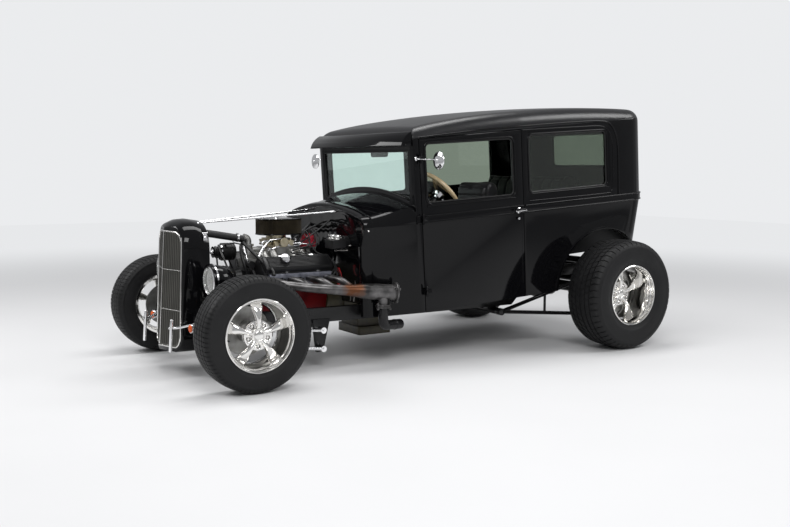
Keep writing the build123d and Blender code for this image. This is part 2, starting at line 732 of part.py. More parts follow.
# body mounts: x on the rail, height of the floor above it in the body's frame, from which height
body_mounts = [
    (1700, FLOOR_Z, RAIL_TOP - 10),
    (1300, FLOOR_Z, RAIL_TOP - 10),
    (860, FLOOR_Z, RAIL_TOP - 10),
    (360, REAR_FLOOR_Z, RAIL_TOP + KICK_UP - 10),
    (-220, REAR_FLOOR_Z, RAIL_TOP + KICK_UP - 10),
]
for x, floor_z, low in body_mounts:
    block = box(x - MOUNT_HALF, x + MOUNT_HALF, RAIL_OUT - RAIL_W + 6, RAIL_OUT - 6, low, 700)
    block -= raked(box(-900, 2200, -900, 900, floor_z, 2000))
    frame += block
    frame += other_side(block)
lug = box(WHEELBASE + 26, CORE_BACK, 60, 100, RAIL_TOP - 30, RAIL_TOP - 6)
frame += lug
frame += other_side(lug)
hole_y = RAIL_OUT - RAIL_W / 2
hole_mid = rail_low + KICK_UP + RAIL_DEPTH / 2
for y in (-hole_y, hole_y):
    for z in (hole_mid - BRACKET_HOLE_PITCH / 2, hole_mid + BRACKET_HOLE_PITCH / 2):
        frame -= rod((RAIL_TAIL_X - 5, y, z), (RAIL_TAIL_X + BRACKET_HOLE_DEPTH, y, z), BRACKET_HOLE_R)
pieces["frame"] = frame

# Front axle, leaf spring and four-bar links

axle_path = [(0, -KINGPIN_Y + 10, ARM_Z), (0, -450, AXLE_DROP_Z), (0, 450, AXLE_DROP_Z), (0, KINGPIN_Y - 10, ARM_Z)]
axle = pipe(axle_path, 70, AXLE_TUBE_R)
# the wing's rear edge stays clear of the tie rod at full lock
wing_rear = TIE_R + SWEEP_GAP - ARM * cos(radians(LOCK))
wing = prism([(-22, 175), (-22, 300), (wing_rear, 302), (wing_rear, 172)], LINK_FACE, LINK_FACE + 10)
perch = box(-22, 22, SPRING_Y - 14, SPRING_Y + 14, AXLE_DROP_Z, SPRING_END_Z - 15)
boss = rod((0, KINGPIN_Y, ARM_Z - BOSS_HALF), (0, KINGPIN_Y, ARM_Z + BOSS_HALF), 30)
axle += wing + other_side(wing) + perch + other_side(perch) + boss + other_side(boss)
bore = rod((0, KINGPIN_Y, ARM_Z - 90), (0, KINGPIN_Y, ARM_Z + 90), KINGPIN_R + RUN)
axle -= bore
axle -= other_side(bore)
pieces["front_axle"] = Pos(WHEELBASE, 0, 0) * axle

crown = RAIL_TOP - 34
with BuildSketch(Plane.YZ) as leaves:
    with BuildLine():
        Polyline((-60, crown), (60, crown))
        ThreePointArc((60, crown), (235, crown - 17), (SPRING_Y, SPRING_END_Z + 8))
        Line((SPRING_Y, SPRING_END_Z + 8), (SPRING_Y, SPRING_END_Z - 4))
        ThreePointArc((SPRING_Y, SPRING_END_Z - 4), (0, crown - 30), (-SPRING_Y, SPRING_END_Z - 4))
        Line((-SPRING_Y, SPRING_END_Z - 4), (-SPRING_Y, SPRING_END_Z + 8))
        ThreePointArc((-SPRING_Y, SPRING_END_Z + 8), (-235, crown - 17), (-60, crown))
    make_face()
spring = Pos(-22, 0, 0) * extrude(leaves.sketch, amount=44)
shackle = box(22, 28, SPRING_Y - 13, SPRING_Y + 13, SPRING_END_Z - 36, SPRING_END_Z + 14)
shackle += Pos(-50, 0, 0) * shackle
shackle += rod((-28, SPRING_Y, SPRING_END_Z + 2), (28, SPRING_Y, SPRING_END_Z + 2), 9)
spring += shackle + other_side(shackle)
pieces["front_spring"] = Pos(WHEELBASE, 0, 0) * spring

# one side's bars: start x, z; end x, z; seat face at each end
links = None
for z_frame, z_axle in ((LINK_TOP_Z, LINK_TOP_AXLE_Z), (LINK_LOW_Z, LINK_LOW_AXLE_Z)):
    ends = [(LINK_X, z_frame, LINK_FACE), (WHEELBASE - 62, z_axle, LINK_FACE + 10)]
    bar = rod((LINK_X, LINK_Y, z_frame), (WHEELBASE - 62, LINK_Y, z_axle), 11)
    for x, z, face in ends:
        bar += disc(x, LINK_Y - 12, z, 19, 24)
        bar += disc(x, face, z, 8, LINK_Y + 20 - face)
    links = bar if links is None else links + bar
pieces["front_links"] = pair(links)

# Knuckles, brakes and steering

hub_inner = 640.0
ear_far = BOSS_HALF + EAR_GAP + EAR_T
knuckle = rod((0, KINGPIN_Y, ARM_Z - ear_far), (0, KINGPIN_Y, ARM_Z + ear_far), KINGPIN_R)
for z in (ARM_Z - ear_far, ARM_Z + ear_far - EAR_T):
    knuckle += rod((0, KINGPIN_Y, z), (0, KINGPIN_Y, z + EAR_T), 26)
    knuckle += box(-24, 24, KINGPIN_Y, KINGPIN_Y + 58, z, z + EAR_T)
knuckle += box(-24, 24, KINGPIN_Y + 36, KINGPIN_Y + 58, ARM_Z - ear_far, ARM_Z + ear_far)
knuckle += rod((0, KINGPIN_Y + 50, FRONT_TYRE_R), (0, front_hub_y - 10, FRONT_TYRE_R), SPINDLE_R)
tie_x = -ARM
knuckle += rod((-14, KINGPIN_Y + 46, ARM_Z - 55), (tie_x, KINGPIN_Y, TIE_Z + 20), 10)
knuckle += rod((tie_x, KINGPIN_Y, TIE_Z + 10), (tie_x, KINGPIN_Y, TIE_Z + 30), 16)
knuckle -= rod((tie_x, KINGPIN_Y, TIE_Z), (tie_x, KINGPIN_Y, TIE_Z + 40), 7 + RUN)
caliper_z = FRONT_TYRE_R
knuckle += box(-150, 0, KINGPIN_Y + 56, KINGPIN_Y + 66, caliper_z - 30, caliper_z + 30)
caliper = box(-152, -88, KINGPIN_Y + 66, hub_inner + 38, caliper_z - 42, caliper_z + 42)
caliper = fillet(caliper.edges().filter_by(Axis.Y), 10)
caliper -= disc(0, hub_inner - 4, FRONT_TYRE_R, DISC_R + 5, 20)
knuckle_left = Pos(WHEELBASE, 0, 0) * knuckle
caliper_left = Pos(WHEELBASE, 0, 0) * caliper
hub = disc(0, hub_inner, 0, DISC_R, 12) + disc(0, hub_inner, 0, 62, front_hub_y - hub_inner)
hub -= disc(0, hub_inner - 5, 0, SPINDLE_R + RUN, front_hub_y - hub_inner - 2)
hub_left = Pos(WHEELBASE, 0, FRONT_TYRE_R) * hub
for side, node in (("left", lambda s: s), ("right", other_side)):
    pieces[f"knuckle_{side}"] = node(knuckle_left)
    pieces[f"caliper_{side}"] = node(caliper_left)
    pieces[f"front_hub_{side}"] = node(hub_left)

end_x = WHEELBASE - ARM
pitman_x = BOX_X - ARM
tie = rod((end_x, -KINGPIN_Y, TIE_Z), (end_x, KINGPIN_Y, TIE_Z), TIE_R)
tie += rod((end_x, -KINGPIN_Y, TIE_Z - 12), (end_x, -KINGPIN_Y, TIE_Z + 8), 14)
tie += rod((end_x, -KINGPIN_Y, TIE_Z), (end_x, -KINGPIN_Y, TIE_Z + 34), 7)
tie += rod((end_x, KINGPIN_Y, TIE_Z - 12), (end_x, KINGPIN_Y, TIE_Z + 8), 14)
tie += rod((end_x, KINGPIN_Y, TIE_Z), (end_x, KINGPIN_Y, TIE_Z + 34), 7)
tie += rod((pitman_x, BOX_Y, TIE_Z + 14), (end_x, -KINGPIN_Y + 40, TIE_Z + 2), 9)
tie += rod((pitman_x, BOX_Y, TIE_Z + 2), (pitman_x, BOX_Y, TIE_Z + 26), 14)
tie += rod((pitman_x, BOX_Y, TIE_Z + 10), (pitman_x, BOX_Y, TIE_Z + 50), 7)
pieces["tie_rod"] = tie

arm_z = TIE_Z + 30
pitman = rod((BOX_X, BOX_Y, arm_z), (BOX_X, BOX_Y, arm_z + 16), 20)
pitman += rod((pitman_x, BOX_Y, arm_z), (pitman_x, BOX_Y, arm_z + 16), 15)
pitman += box(pitman_x, BOX_X, BOX_Y - 11, BOX_Y + 11, arm_z, arm_z + 16)
pitman += rod((BOX_X, BOX_Y, arm_z), (BOX_X, BOX_Y, arm_z + 50), 14)
pitman -= rod((pitman_x, BOX_Y, arm_z - 10), (pitman_x, BOX_Y, arm_z + 30), 7 + RUN)
pieces["pitman_arm"] = pitman

gear_low = arm_z + 22
box_side = rail_out(BOX_X + 40) - RAIL_W
gear = fillet(box(BOX_X - 38, BOX_X + 40, BOX_Y - 42, BOX_Y + 20, gear_low, gear_low + 130).edges(), 8)
gear += box(BOX_X - 30, BOX_X + 30, BOX_Y, box_side, rail_low + NOSE_RISE + 6, RAIL_TOP - 6)
gear -= rod((BOX_X, BOX_Y, gear_low - 5), (BOX_X, BOX_Y, gear_low + 34), 14 + RUN)
pieces["steering_box"] = gear - frame

# Rear axle, drums, ladder bars, coil-overs and drive shaft

housing = rod((-112, 0, REAR_TYRE_R), (150, 0, REAR_TYRE_R), 108, 62)
housing += Pos(0, 0, REAR_TYRE_R) * Sphere(122)
tube_half = rear_hub_y - DRUM_W - 14
housing += rod((0, -tube_half, REAR_TYRE_R), (0, tube_half, REAR_TYRE_R), 38)
plate = disc(0, tube_half - 2, REAR_TYRE_R, 132, 8)
stub = disc(0, tube_half, REAR_TYRE_R, 20, 60)
clamp = box(-40, 40, LADDER_Y - 8, LADDER_Y + 8, LADDER_AXLE_LOW, LADDER_AXLE_TOP)
coil_foot = box(-110, -20, COIL_Y - 30, COIL_Y - 18, COIL_LOW - 25, REAR_TYRE_R)
for piece in (plate, stub, clamp, coil_foot):
    housing += piece
    housing += other_side(piece)
pieces["rear_axle"] = housing

drum = disc(0, rear_hub_y - DRUM_W, 0, 140, DRUM_W) - disc(0, rear_hub_y - DRUM_W - 5, 0, 20 + RUN, 90)
drum_left = Pos(0, 0, REAR_TYRE_R) * drum
pieces["brake_drum_left"] = drum_left
pieces["brake_drum_right"] = other_side(drum_left)

ladder = None
for z in (LADDER_AXLE_LOW + 18, LADDER_AXLE_TOP - 18):
    bar = rod((LADDER_X, LADDER_Y + 22, LADDER_Z), (0, LADDER_Y + 22, z), 13)
    bar += disc(0, LADDER_Y + 8, z, 20, 28) + disc(LADDER_X, LADDER_Y - 14, LADDER_Z, 24, 50)
    ladder = bar if ladder is None else ladder + bar
ladder += rod((380, LADDER_Y + 22, 235), (380, LADDER_Y + 22, 355), 9)
pieces["ladder_bars"] = pair(ladder)

coil_top = RAIL_TOP + KICK_UP
coil = rod((-65, COIL_Y, COIL_LOW), (-125, COIL_Y, coil_top), 10)
coil += rod((-72, COIL_Y, COIL_LOW + 40), (-120, COIL_Y, coil_top - 24), 32)
coil += disc(-65, COIL_Y - 18, COIL_LOW, 20, 36)
coil += box(-148, -102, COIL_Y - 20, COIL_Y + 20, coil_top - 16, coil_top)
pieces["rear_coilovers"] = pair(coil - housing - frame)

case_end = 1290.0
shaft = rod((152, 0, REAR_TYRE_R), (case_end - 2, 0, TRANS_Z), 34)
shaft += rod((150, 0, REAR_TYRE_R), (215, 0, REAR_TYRE_R - 1), 52)
shaft += rod((case_end - 60, 0, TRANS_Z + 1), (case_end, 0, TRANS_Z), 50)
pieces["drive_shaft"] = shaft - housing

# Transmission, exhaust and fuel tank

trans = rod((ENGINE_REAR, 0, CRANK_Z - 8), (ENGINE_REAR - 150, 0, TRANS_Z + 30), 178, 128)
trans += rod((ENGINE_REAR - 150, 0, TRANS_Z + 10), (1520, 0, TRANS_Z + 5), 128, 112)
trans += rod((1520, 0, TRANS_Z + 5), (case_end, 0, TRANS_Z), 85, 55)
pan_block = box(1440, 1690, -150, 150, TRANS_PAN_LOW, TRANS_PAN_LOW + 55)
trans += fillet(pan_block.edges().filter_by(Axis.Z), 25)
trans += box(1450, 1680, -110, 110, TRANS_PAN_LOW + 50, TRANS_Z)
transmission = trans - frame

tank_top = RAIL_TOP + KICK_UP - 20
tank = fillet(box(-288, -160, -335, 335, tank_top - 140, tank_top).edges().filter_by(Axis.Y), 30)
for x in (-260, -200):
    tank += box(x, x + 20, -span, span, tank_top - 4, tank_top + 6)
pieces["fuel_tank"] = tank


# Engine: block, heads, covers, intake and front drive, all about the crank line

mid_engine = (ENGINE_FRONT + ENGINE_REAR) / 2
engine_len = ENGINE_FRONT - ENGINE_REAR


def bank(near, far, half, length, lateral=0.0):
    """A block on the left bank, from near to far along the cylinder line, half wide each way."""
    block = Pos(0, lateral, (near + far) / 2) * Box(length, 2 * half, far - near)
    return Pos(mid_engine, 0, CRANK_Z) * (Rot(-45, 0, 0) * block)


low_profile = [(-150, CRANK_Z - 82), (150, CRANK_Z - 82), (165, CRANK_Z + 40), (120, CRANK_Z + 205), (-120, CRANK_Z + 205),
               (-165, CRANK_Z + 40)]
lower = extrude(
    make_face(Polyline(*[(ENGINE_REAR, y, z) for y, z in low_profile], close=True)), amount=engine_len, dir=(1, 0, 0)
)
cylinders = bank(60, DECK, HEAD_W / 2 - 4, engine_len)
block = lower + cylinders + other_side(cylinders)
heads = bank(DECK, DECK + HEAD_H, HEAD_W / 2, engine_len - 30)
pan = fillet(box(ENGINE_REAR + 20, ENGINE_FRONT - 20, -120, 120, PAN_LOW, CRANK_Z - 82).edges().filter_by(Axis.X), 20)
pieces["engine_block"] = block + pan
pieces["transmission"] = transmission - block
pieces["cylinder_heads"] = pair(heads - block)
cover = bank(DECK + HEAD_H, DECK + HEAD_H + COVER_H, COVER_W / 2, engine_len - 40)
cover = fillet(cover.edges().filter_by(Axis.X), 16)
pieces["valve_covers"] = pair(cover - heads)

base = box(ENGINE_REAR + 30, ENGINE_FRONT - 25, -VALLEY_HALF, VALLEY_HALF, CRANK_Z + 205, INTAKE_TOP)
intake = base - heads - other_side(heads) - cover - other_side(cover)
carb = fillet(box(CARB_X - 60, CARB_X + 60, -78, 78, INTAKE_TOP, FILTER_LOW - 16).edges().filter_by(Axis.Z), 14)
carb += rod((CARB_X, 0, FILTER_LOW - 18), (CARB_X, 0, FILTER_LOW), 64)
pieces["intake"] = intake
pieces["carburettor"] = carb
element = fillet(box(FILTER_X0, FILTER_X1, -130, 130, FILTER_LOW + 8, FILTER_TOP - 6).edges().filter_by(Axis.Z), 22)
lid = fillet(box(FILTER_X0 - 5, FILTER_X1 + 5, -135, 135, FILTER_TOP - 6, FILTER_TOP).edges().filter_by(Axis.Z), 26)
filter_base = fillet(box(FILTER_X0 - 5, FILTER_X1 + 5, -135, 135, FILTER_LOW, FILTER_LOW + 8).edges().filter_by(Axis.Z), 26)
pieces["air_cleaner"] = element + lid + filter_base
cap_x = ENGINE_REAR + 50
distributor = rod((cap_x, 0, CRANK_Z + 205), (cap_x, 0, CRANK_Z + 220), 34)
distributor += rod((cap_x, 0, CRANK_Z + 215), (cap_x, 0, CRANK_Z + 330), 28)
distributor += rod((cap_x, 0, CRANK_Z + 329), (cap_x, 0, CRANK_Z + 400), 56, 46)
pieces["distributor"] = distributor
pieces["intake"] -= rod((cap_x, 0, CRANK_Z + 200), (cap_x, 0, CRANK_Z + 500), 36)

# front drive: pump, pulleys and alternator
front = ENGINE_FRONT
pump = rod((front, 0, CRANK_Z + 150), (front + 60, 0, CRANK_Z + 150), 62, 40)
pump += box(front, front + 30, -110, 110, CRANK_Z + 50, CRANK_Z + 200)
pulleys = rod((front + 50, 0, CRANK_Z + 150), (front + 82, 0, CRANK_Z + 150), 72)
pulleys += rod((front, 0, CRANK_Z), (front + 55, 0, CRANK_Z), 60) + rod((front + 50, 0, CRANK_Z), (front + 82, 0, CRANK_Z), 84)
alternator = rod((ALT_X, ALT_Y, ALT_Z), (ALT_X + 118, ALT_Y, ALT_Z), 56)
alternator += rod((ALT_X + 118, ALT_Y, ALT_Z), (ALT_X + 140, ALT_Y, ALT_Z), 34)
alternator += box(front + 6, front + 24, ALT_Y - 30, ALT_Y + 30, CRANK_Z + 190, ALT_Z - 30)
pieces["front_drive"] = pump + pulleys
pieces["alternator"] = alternator
neck = rod((front - 28, 0, INTAKE_TOP), (front - 28, 0, INTAKE_TOP + 60), 30)
hose = pipe([(CORE_BACK, 0, 862), (2650, 0, 868), (2470, 0, 812), (front - 28, 0, 792)], 30, 23)
pieces["thermostat_neck"] = neck
pieces["upper_hose"] = hose - neck

# Headers: a long cone on each side with four pipes swept into it
cone_ends = [(HEADER_FRONT_X, 372, 548, 24), (2141, 520, 507, 33), (1703, 612, 468, 50)]
header = None
for (x0, y0, z0, r0), (x1, y1, z1, r1) in zip(cone_ends, cone_ends[1:]):
    piece = rod((x0, y0, z0), (x1, y1, z1), r0, r1)
    header = piece if header is None else header + piece
header += Pos(2141, 520, 507) * Sphere(33)
header += rod((1703, 612, 468), (1693, 614, 467), 66)
# ports: x at the head, x and share where the pipe meets the cone
for port_x, join_x, join_y in ((2395, 2340, 400), (2275, 2215, 482), (2150, 2060, 532), (2030, 1940, 560)):
    port = (port_x, PORT_Y, PORT_Z)
    header += pipe([port, (port_x - 12, (PORT_Y + join_y) / 2 + 10, PORT_Z - 6), (join_x, join_y, 508)], 40, 21)
flange = box(ENGINE_REAR + 45, ENGINE_FRONT - 30, PORT_Y - 12, PORT_Y, PORT_Z - 32, PORT_Z + 32)
down = pipe([(1790, 598, 476), (1790, 596, 380), (1760, 560, 262), (1600, 500, 250)], 60, PIPE_R)
pipe_end = (1600, 500, 250)
pipe_run = Vector(-160, -60, -12).normalized()
cuff_start = tuple(Vector(*pipe_end) - pipe_run * CUFF_LENGTH)
down += rod(cuff_start, pipe_end, CUFF_R)
down -= rod(tuple(Vector(*cuff_start) + pipe_run * 8), tuple(Vector(*pipe_end) + pipe_run * 5), CUFF_R - CUFF_WALL)
header = header + flange
pieces["headers"] = pair(header - heads - block - down)
pieces["exhaust_pipes"] = pair(down)


# Grille shell: a tapered hood form with a V-shaped nose, hollow behind, with the bars let in


def shell_outline(x, half, top, inset=0.0):
    """The shell seen from the front at x, pulled in by inset."""
    foot, half, top, low = half - 58 - inset, half - inset, top - inset, SHELL_LOW + inset
    plane = Plane(origin=(x, 0, 0), x_dir=(0, 1, 0), z_dir=(1, 0, 0))
    with BuildLine(plane) as ring:
        for way in (1, -1):
            Line((0, low), (way * foot, low))
            ThreePointArc((way * foot, low), (way * (half - 14), low + 40), (way * half, low + 120))
            Line((way * half, low + 120), (way * (half - 6), top - 170))
            ThreePointArc((way * (half - 6), top - 170), (way * (half - 46), top - 58), (way * (half - 120), top - 13))
        ThreePointArc((half - 120, top - 13), (0, top), (-(half - 120), top - 13))
    return make_face(ring.line)


def nose_wedge(back):
    """All that lies ahead of the V-shaped nose, moved back by back. Ridge and edge lean to the rear."""
    layers = []
    for z, ridge, edge in ((100, NOSE_X + 4, EDGE_X + 3), (1000, NOSE_X - NOSE_LEAN, EDGE_X - NOSE_LEAN * 0.7)):
        per_y = (ridge - edge) / EDGE_Y
        outline = [(ridge - back, 0), (edge - back - per_y * 60, EDGE_Y + 60), (3300, EDGE_Y + 60), (3300, 0)]
        layers.append(make_face(Polyline(*[(x, y, z) for x, y in outline], close=True)))
    wedge = loft(layers, ruled=True)
    return wedge + other_side(wedge)


def shell_form(inset):
    return loft([shell_outline(*section, inset) for section in SHELL_SECTIONS], ruled=True)


def opening_form(inset, x0=2800, x1=3100):
    """The grille's outline, pulled in by inset."""
    half, low, top = INSERT_HALF - inset, INSERT_LOW + inset, INSERT_TOP - inset
    plane = Plane(origin=(x0, 0, 0), x_dir=(0, 1, 0), z_dir=(1, 0, 0))
    with BuildLine(plane) as ring:
        for way in (1, -1):
            Line((0, low), (way * (half - 50), low))
            ThreePointArc((way * (half - 50), low), (way * (half - 16), low + 22), (way * half, low + 80))
            Line((way * half, low + 80), (way * (half - 10), top - 80))
            ThreePointArc((way * (half - 10), top - 80), (way * (half - 34), top - 24), (way * (half - 90), top - 3))
        ThreePointArc((half - 90, top - 3), (0, top), (-(half - 90), top - 3))
    return extrude(make_face(ring.line), amount=x1 - x0)


shell_skin = shell_form(0) - nose_wedge(0)
cavity = shell_form(SHELL_T) - nose_wedge(SHELL_T)
shell_skin -= cavity
shell_skin -= opening_form(0)
shell_skin -= box(SHELL_REAR, SHELL_REAR + 170, -150, 150, 100, SHELL_LOW + 30)
pieces["grille_shell"] = shell_skin

layer = opening_form(0) & (nose_wedge(INSERT_T) - nose_wedge(0))
slots = None
lines = int((INSERT_HALF - 12) / BAR_PITCH)
for i in range(-lines, lines + 1):
    for z0, z1 in ((0, SEAM_LOW - 4), (SEAM_LOW + 4, SEAM_HIGH - 4), (SEAM_HIGH + 4, 1000)):
        y = (i + 0.5) * BAR_PITCH
        slot = box(2800, 3100, y - (BAR_PITCH - BAR_W) / 2, y + (BAR_PITCH - BAR_W) / 2, z0, z1)
        slots = slot if slots is None else slots + slot
slots &= opening_form(9)
pieces["grille_insert"] = layer - slots
radiator = box(CORE_BACK, CORE_FRONT, -CORE_HALF, CORE_HALF, SHELL_LOW + 42, CORE_TOP)
pieces["radiator"] = radiator + box(CORE_BACK, CORE_FRONT, -104, 104, CORE_TOP, SHELL_TOP - 58)
pieces["upper_hose"] -= pieces["radiator"]

# Lamps, bumper irons, signals and stay rods
LAMP = (2839.0, 397.0, 589.0)
with BuildSketch(Plane.XZ) as bullet:
    with BuildLine():
        Polyline((-4, 0), (-4, 78), (6, 80), (6, 96), (-16, 98), (-16, 90))
        ThreePointArc((-16, 90), (-110, 66), (-165, 0))
        Line((-165, 0), (-4, 0))
    make_face()
bucket = Pos(*LAMP) * revolve(bullet.sketch, axis=Axis.X)
bucket += rod((LAMP[0] - 70, LAMP[1] - 8, LAMP[2] - 60), (LAMP[0] - 50, 345, RAIL_TOP - 1), 14)
bucket -= box(2600, 2900, 200, 500, 0, RAIL_TOP)
lens = Pos(*LAMP) * (rod((-4, 0, 0), (4, 0, 0), 77.5))
pieces["headlamps"] = pair(bucket)
pieces["headlamp_lenses"] = pair(lens)

nerf = pipe([(3009, NERF_Y, 351), (3014, NERF_Y, 300), (3020, NERF_Y, 165)], 40, 9.5)
nerf += rod((3008, NERF_Y, RAIL_TOP - 31), (RAIL_NOSE_X, rail_out(RAIL_NOSE_X) - RAIL_W + 10, RAIL_TOP - 26), 8)
pieces["nerf_bars"] = pair(nerf - frame)
signal = rod((2915, 325, 310), (2950, 325, 310), 33)
signal += rod((RAIL_NOSE_X, 325, 330), (2920, 325, 330), 8)
pieces["turn_signals"] = pair(signal)
stay_foot = rake_point(FIREWALL_X - 4, 178, 1084)
stays = rod((SHELL_REAR + 2, 30, 902), stay_foot, 5.5)
pieces["stay_rods"] = pair(stays - pieces["firewall"] - pieces["cowl"] - shell_skin - pieces["upper_hose"])

# Cabin controls and small outside fittings
column_foot = rake_point(toe_x + 6, WHEEL_Y, FLOOR_Z + 160)
wheel_centre = (1205, WHEEL_Y, 1052)
axis = (Vector(*wheel_centre) - Vector(*column_foot)).normalized()
hub_back = tuple(Vector(*wheel_centre) - axis * 24)
column = rod(column_foot, hub_back, 24)
pieces["steering_column"] = column - pieces["firewall"] - pieces["floor_pan"]
pieces["dash"] -= rod(column_foot, hub_back, 24)
wheel_plane = Plane(origin=Vector(*wheel_centre), z_dir=axis)
ring = wheel_plane * Torus(STEER_R, 14)
hub_cap = wheel_plane * Cylinder(40, 34)
for turn in (0, 120, 240):
    ring += wheel_plane * (Rot(0, 0, turn + 90) * Pos(STEER_R / 2, 0, 0) * Box(STEER_R, 26, 6))
pieces["steering_wheel"] = ring + hub_cap + rod(hub_back, tuple(Vector(*wheel_centre)), 20)
pieces["steering_wheel"] -= rod(column_foot, tuple(Vector(*wheel_centre) - axis * 23.5), 30)

reservoir = box(0, 92, -58, 58, -38, 22) + box(-1, 94, -60, 60, 22, 30) + rod((0, 0, -8), (-41, 0, -8), 46)
pieces["brake_reservoir"] = Pos(*rake_point(FIREWALL_X + 36, 300, 905)) * Rot(0, RAKE, 0) * reservoir
pieces["brake_reservoir"] -= pieces["firewall"]

mirror_head = (1509, 786, 1283)
arm_foot = rake_point(DOOR_FRONT_X + 20, POST_HALF - 3, 1398)
peep = rod(mirror_head, (mirror_head[0] + 16, mirror_head[1], mirror_head[2]), 55, 42)
peep += rod(arm_foot, (mirror_head[0] + 12, mirror_head[1] - 36, mirror_head[2]), 6)
pieces["mirrors"] = pair(peep - pieces["windscreen_posts"])

post_hinges = None
door_hinges = None
for z in (560, 1018, 1400):
    barrel = rod((DOOR_FRONT_X, HINGE_Y, z - HINGE_HALF), (DOOR_FRONT_X, HINGE_Y, z + HINGE_HALF), HINGE_R)
    leaf = box(DOOR_FRONT_X, DOOR_FRONT_X + 32, POST_HALF - 20, HINGE_Y, z - 24, z + 24)
    middle_z = (z - HINGE_MID - HINGE_GAP, z + HINGE_MID + HINGE_GAP)
    notch = rod((DOOR_FRONT_X, HINGE_Y, middle_z[0]), (DOOR_FRONT_X, HINGE_Y, middle_z[1]), HINGE_R + 2)
    pin = rod((DOOR_FRONT_X, HINGE_Y, z - HINGE_HALF), (DOOR_FRONT_X, HINGE_Y, z + HINGE_HALF), HINGE_PIN_R)
    fixed_half = barrel + leaf - notch + pin
    swing = rod((DOOR_FRONT_X, HINGE_Y, z - HINGE_MID), (DOOR_FRONT_X, HINGE_Y, z + HINGE_MID), HINGE_R)
    swing += box(DOOR_FRONT_X - 36, DOOR_FRONT_X - 5, POST_HALF - 18, HINGE_Y - 2, z - HINGE_MID, z + HINGE_MID)
    swing -= rod((DOOR_FRONT_X, HINGE_Y, z - 20), (DOOR_FRONT_X, HINGE_Y, z + 20), HINGE_PIN_R + RUN)
    post_hinges = fixed_half if post_hinges is None else post_hinges + fixed_half
    door_hinges = swing if door_hinges is None else door_hinges + swing
pieces["door_hinges"] = pair(raked(post_hinges) - pieces["windscreen_posts"])
door_hinges = raked(door_hinges)
for side, shape in (("left", door_hinges), ("right", other_side(door_hinges))):
    pieces[f"door_{side}"] += shape
handle = rod((DOOR_REAR_X + 52, 640, 1016), (DOOR_REAR_X + 52, 690, 1016), 9)
handle += rod((DOOR_REAR_X + 12, 690, 1016), (DOOR_REAR_X + 96, 690, 1016), 9)
handle = raked(handle) - pieces["door_left"]
pieces["door_handle_left"] = handle
pieces["door_handle_right"] = other_side(handle)
tail = Pos(*rake_point(TAIL_X + 34, 470, 880)) * Rot(0, RAKE - 10, 0) * rod((0, 0, 0), (-46, 0, 0), 40)
pieces["tail_lamps"] = pair(tail - pieces["body_tub"])

# The origin goes under the middle of the car's length
reach = [shape.bounding_box() for shape in pieces.values()]
middle = (max(b.max.X for b in reach) + min(b.min.X for b in reach)) / 2


# Each node and the pieces that are fused in it
joined = {
    "engine_block": ("engine_block", "cylinder_heads"),
    "intake": ("intake", "carburettor", "thermostat_neck"),
    "front_drive": ("front_drive", "alternator"),
    "front_axle": ("front_axle", "front_spring"),
    "rear_suspension": ("ladder_bars", "rear_coilovers"),
    "transmission": ("transmission", "drive_shaft"),
    "headers": ("headers", "exhaust_pipes"),
    "radiator": ("radiator", "upper_hose"),
    "frame": ("frame", "fuel_tank"),
    "steering_column": ("steering_column", "steering_box"),
    "seats": ("front_seats", "rear_bench"),
    "cowl": ("cowl", "firewall"),
    "windscreen_posts": ("windscreen_posts", "windscreen_frame"),
    "fixed_glass": ("windscreen_glass", "quarter_glass", "rear_glass"),
    "signal_lamps": ("turn_signals", "tail_lamps"),
    "bright_fittings": ("stay_rods", "nerf_bars", "mirrors", "door_hinges", "brake_reservoir"),
}
for side in ("left", "right"):
    joined[f"rim_front_{side}"] = (f"rim_front_{side}", f"front_hub_{side}")
    joined[f"rim_rear_{side}"] = (f"rim_rear_{side}", f"brake_drum_{side}")
    joined[f"knuckle_{side}"] = (f"knuckle_{side}", f"caliper_{side}")
    joined[f"door_{side}"] = (f"door_{side}", f"door_handle_{side}")
nodes = {}
for name, names in joined.items():
    solids = [solid for piece in names for solid in pieces.pop(piece).solids()]
    nodes[name] = solids[0].fuse(*solids[1:])
nodes.update(pieces)

if __name__ == "__main__":
    os.makedirs("parts", exist_ok=True)
    for name, shape in nodes.items():
        solids = (Pos(-middle, 0, 0) * shape).solids()
        export_step(solids[0] if len(solids) == 1 else Compound(children=solids), f"parts/{name}.step")
    print("rear axle at", round(-middle, 3), "nodes", len(nodes))
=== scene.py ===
"""Looks of the fenderless hot rod: finishes, trim, wheels, engine dress, seats, light and camera.

Shapes are drawn in millimetres from the rear axle: x forward, y left, z up from the floor.
The body is drawn level and raked about the rear axle line, as its panels are.
"""

import json
from math import cos, exp, pi, radians, sin, sqrt

import bmesh
import bpy
from mathutils import Matrix, Vector


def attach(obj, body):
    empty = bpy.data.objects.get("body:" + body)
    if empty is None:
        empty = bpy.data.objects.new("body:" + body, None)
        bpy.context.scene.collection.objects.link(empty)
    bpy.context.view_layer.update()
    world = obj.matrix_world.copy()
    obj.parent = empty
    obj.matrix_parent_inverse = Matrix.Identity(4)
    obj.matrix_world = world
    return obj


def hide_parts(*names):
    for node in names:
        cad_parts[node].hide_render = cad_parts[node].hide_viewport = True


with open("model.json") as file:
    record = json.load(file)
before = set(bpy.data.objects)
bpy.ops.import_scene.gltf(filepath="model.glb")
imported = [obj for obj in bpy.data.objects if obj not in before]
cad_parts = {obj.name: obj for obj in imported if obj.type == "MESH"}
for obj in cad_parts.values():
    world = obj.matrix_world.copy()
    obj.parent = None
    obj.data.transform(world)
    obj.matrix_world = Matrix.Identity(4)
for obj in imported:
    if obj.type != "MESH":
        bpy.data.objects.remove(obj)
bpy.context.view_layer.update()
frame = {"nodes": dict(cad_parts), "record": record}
nodes = frame["nodes"]
joint_at = {j["name"]: Vector(j["pos_m"]) for j in frame["record"]["behaviour"]["joints"]}

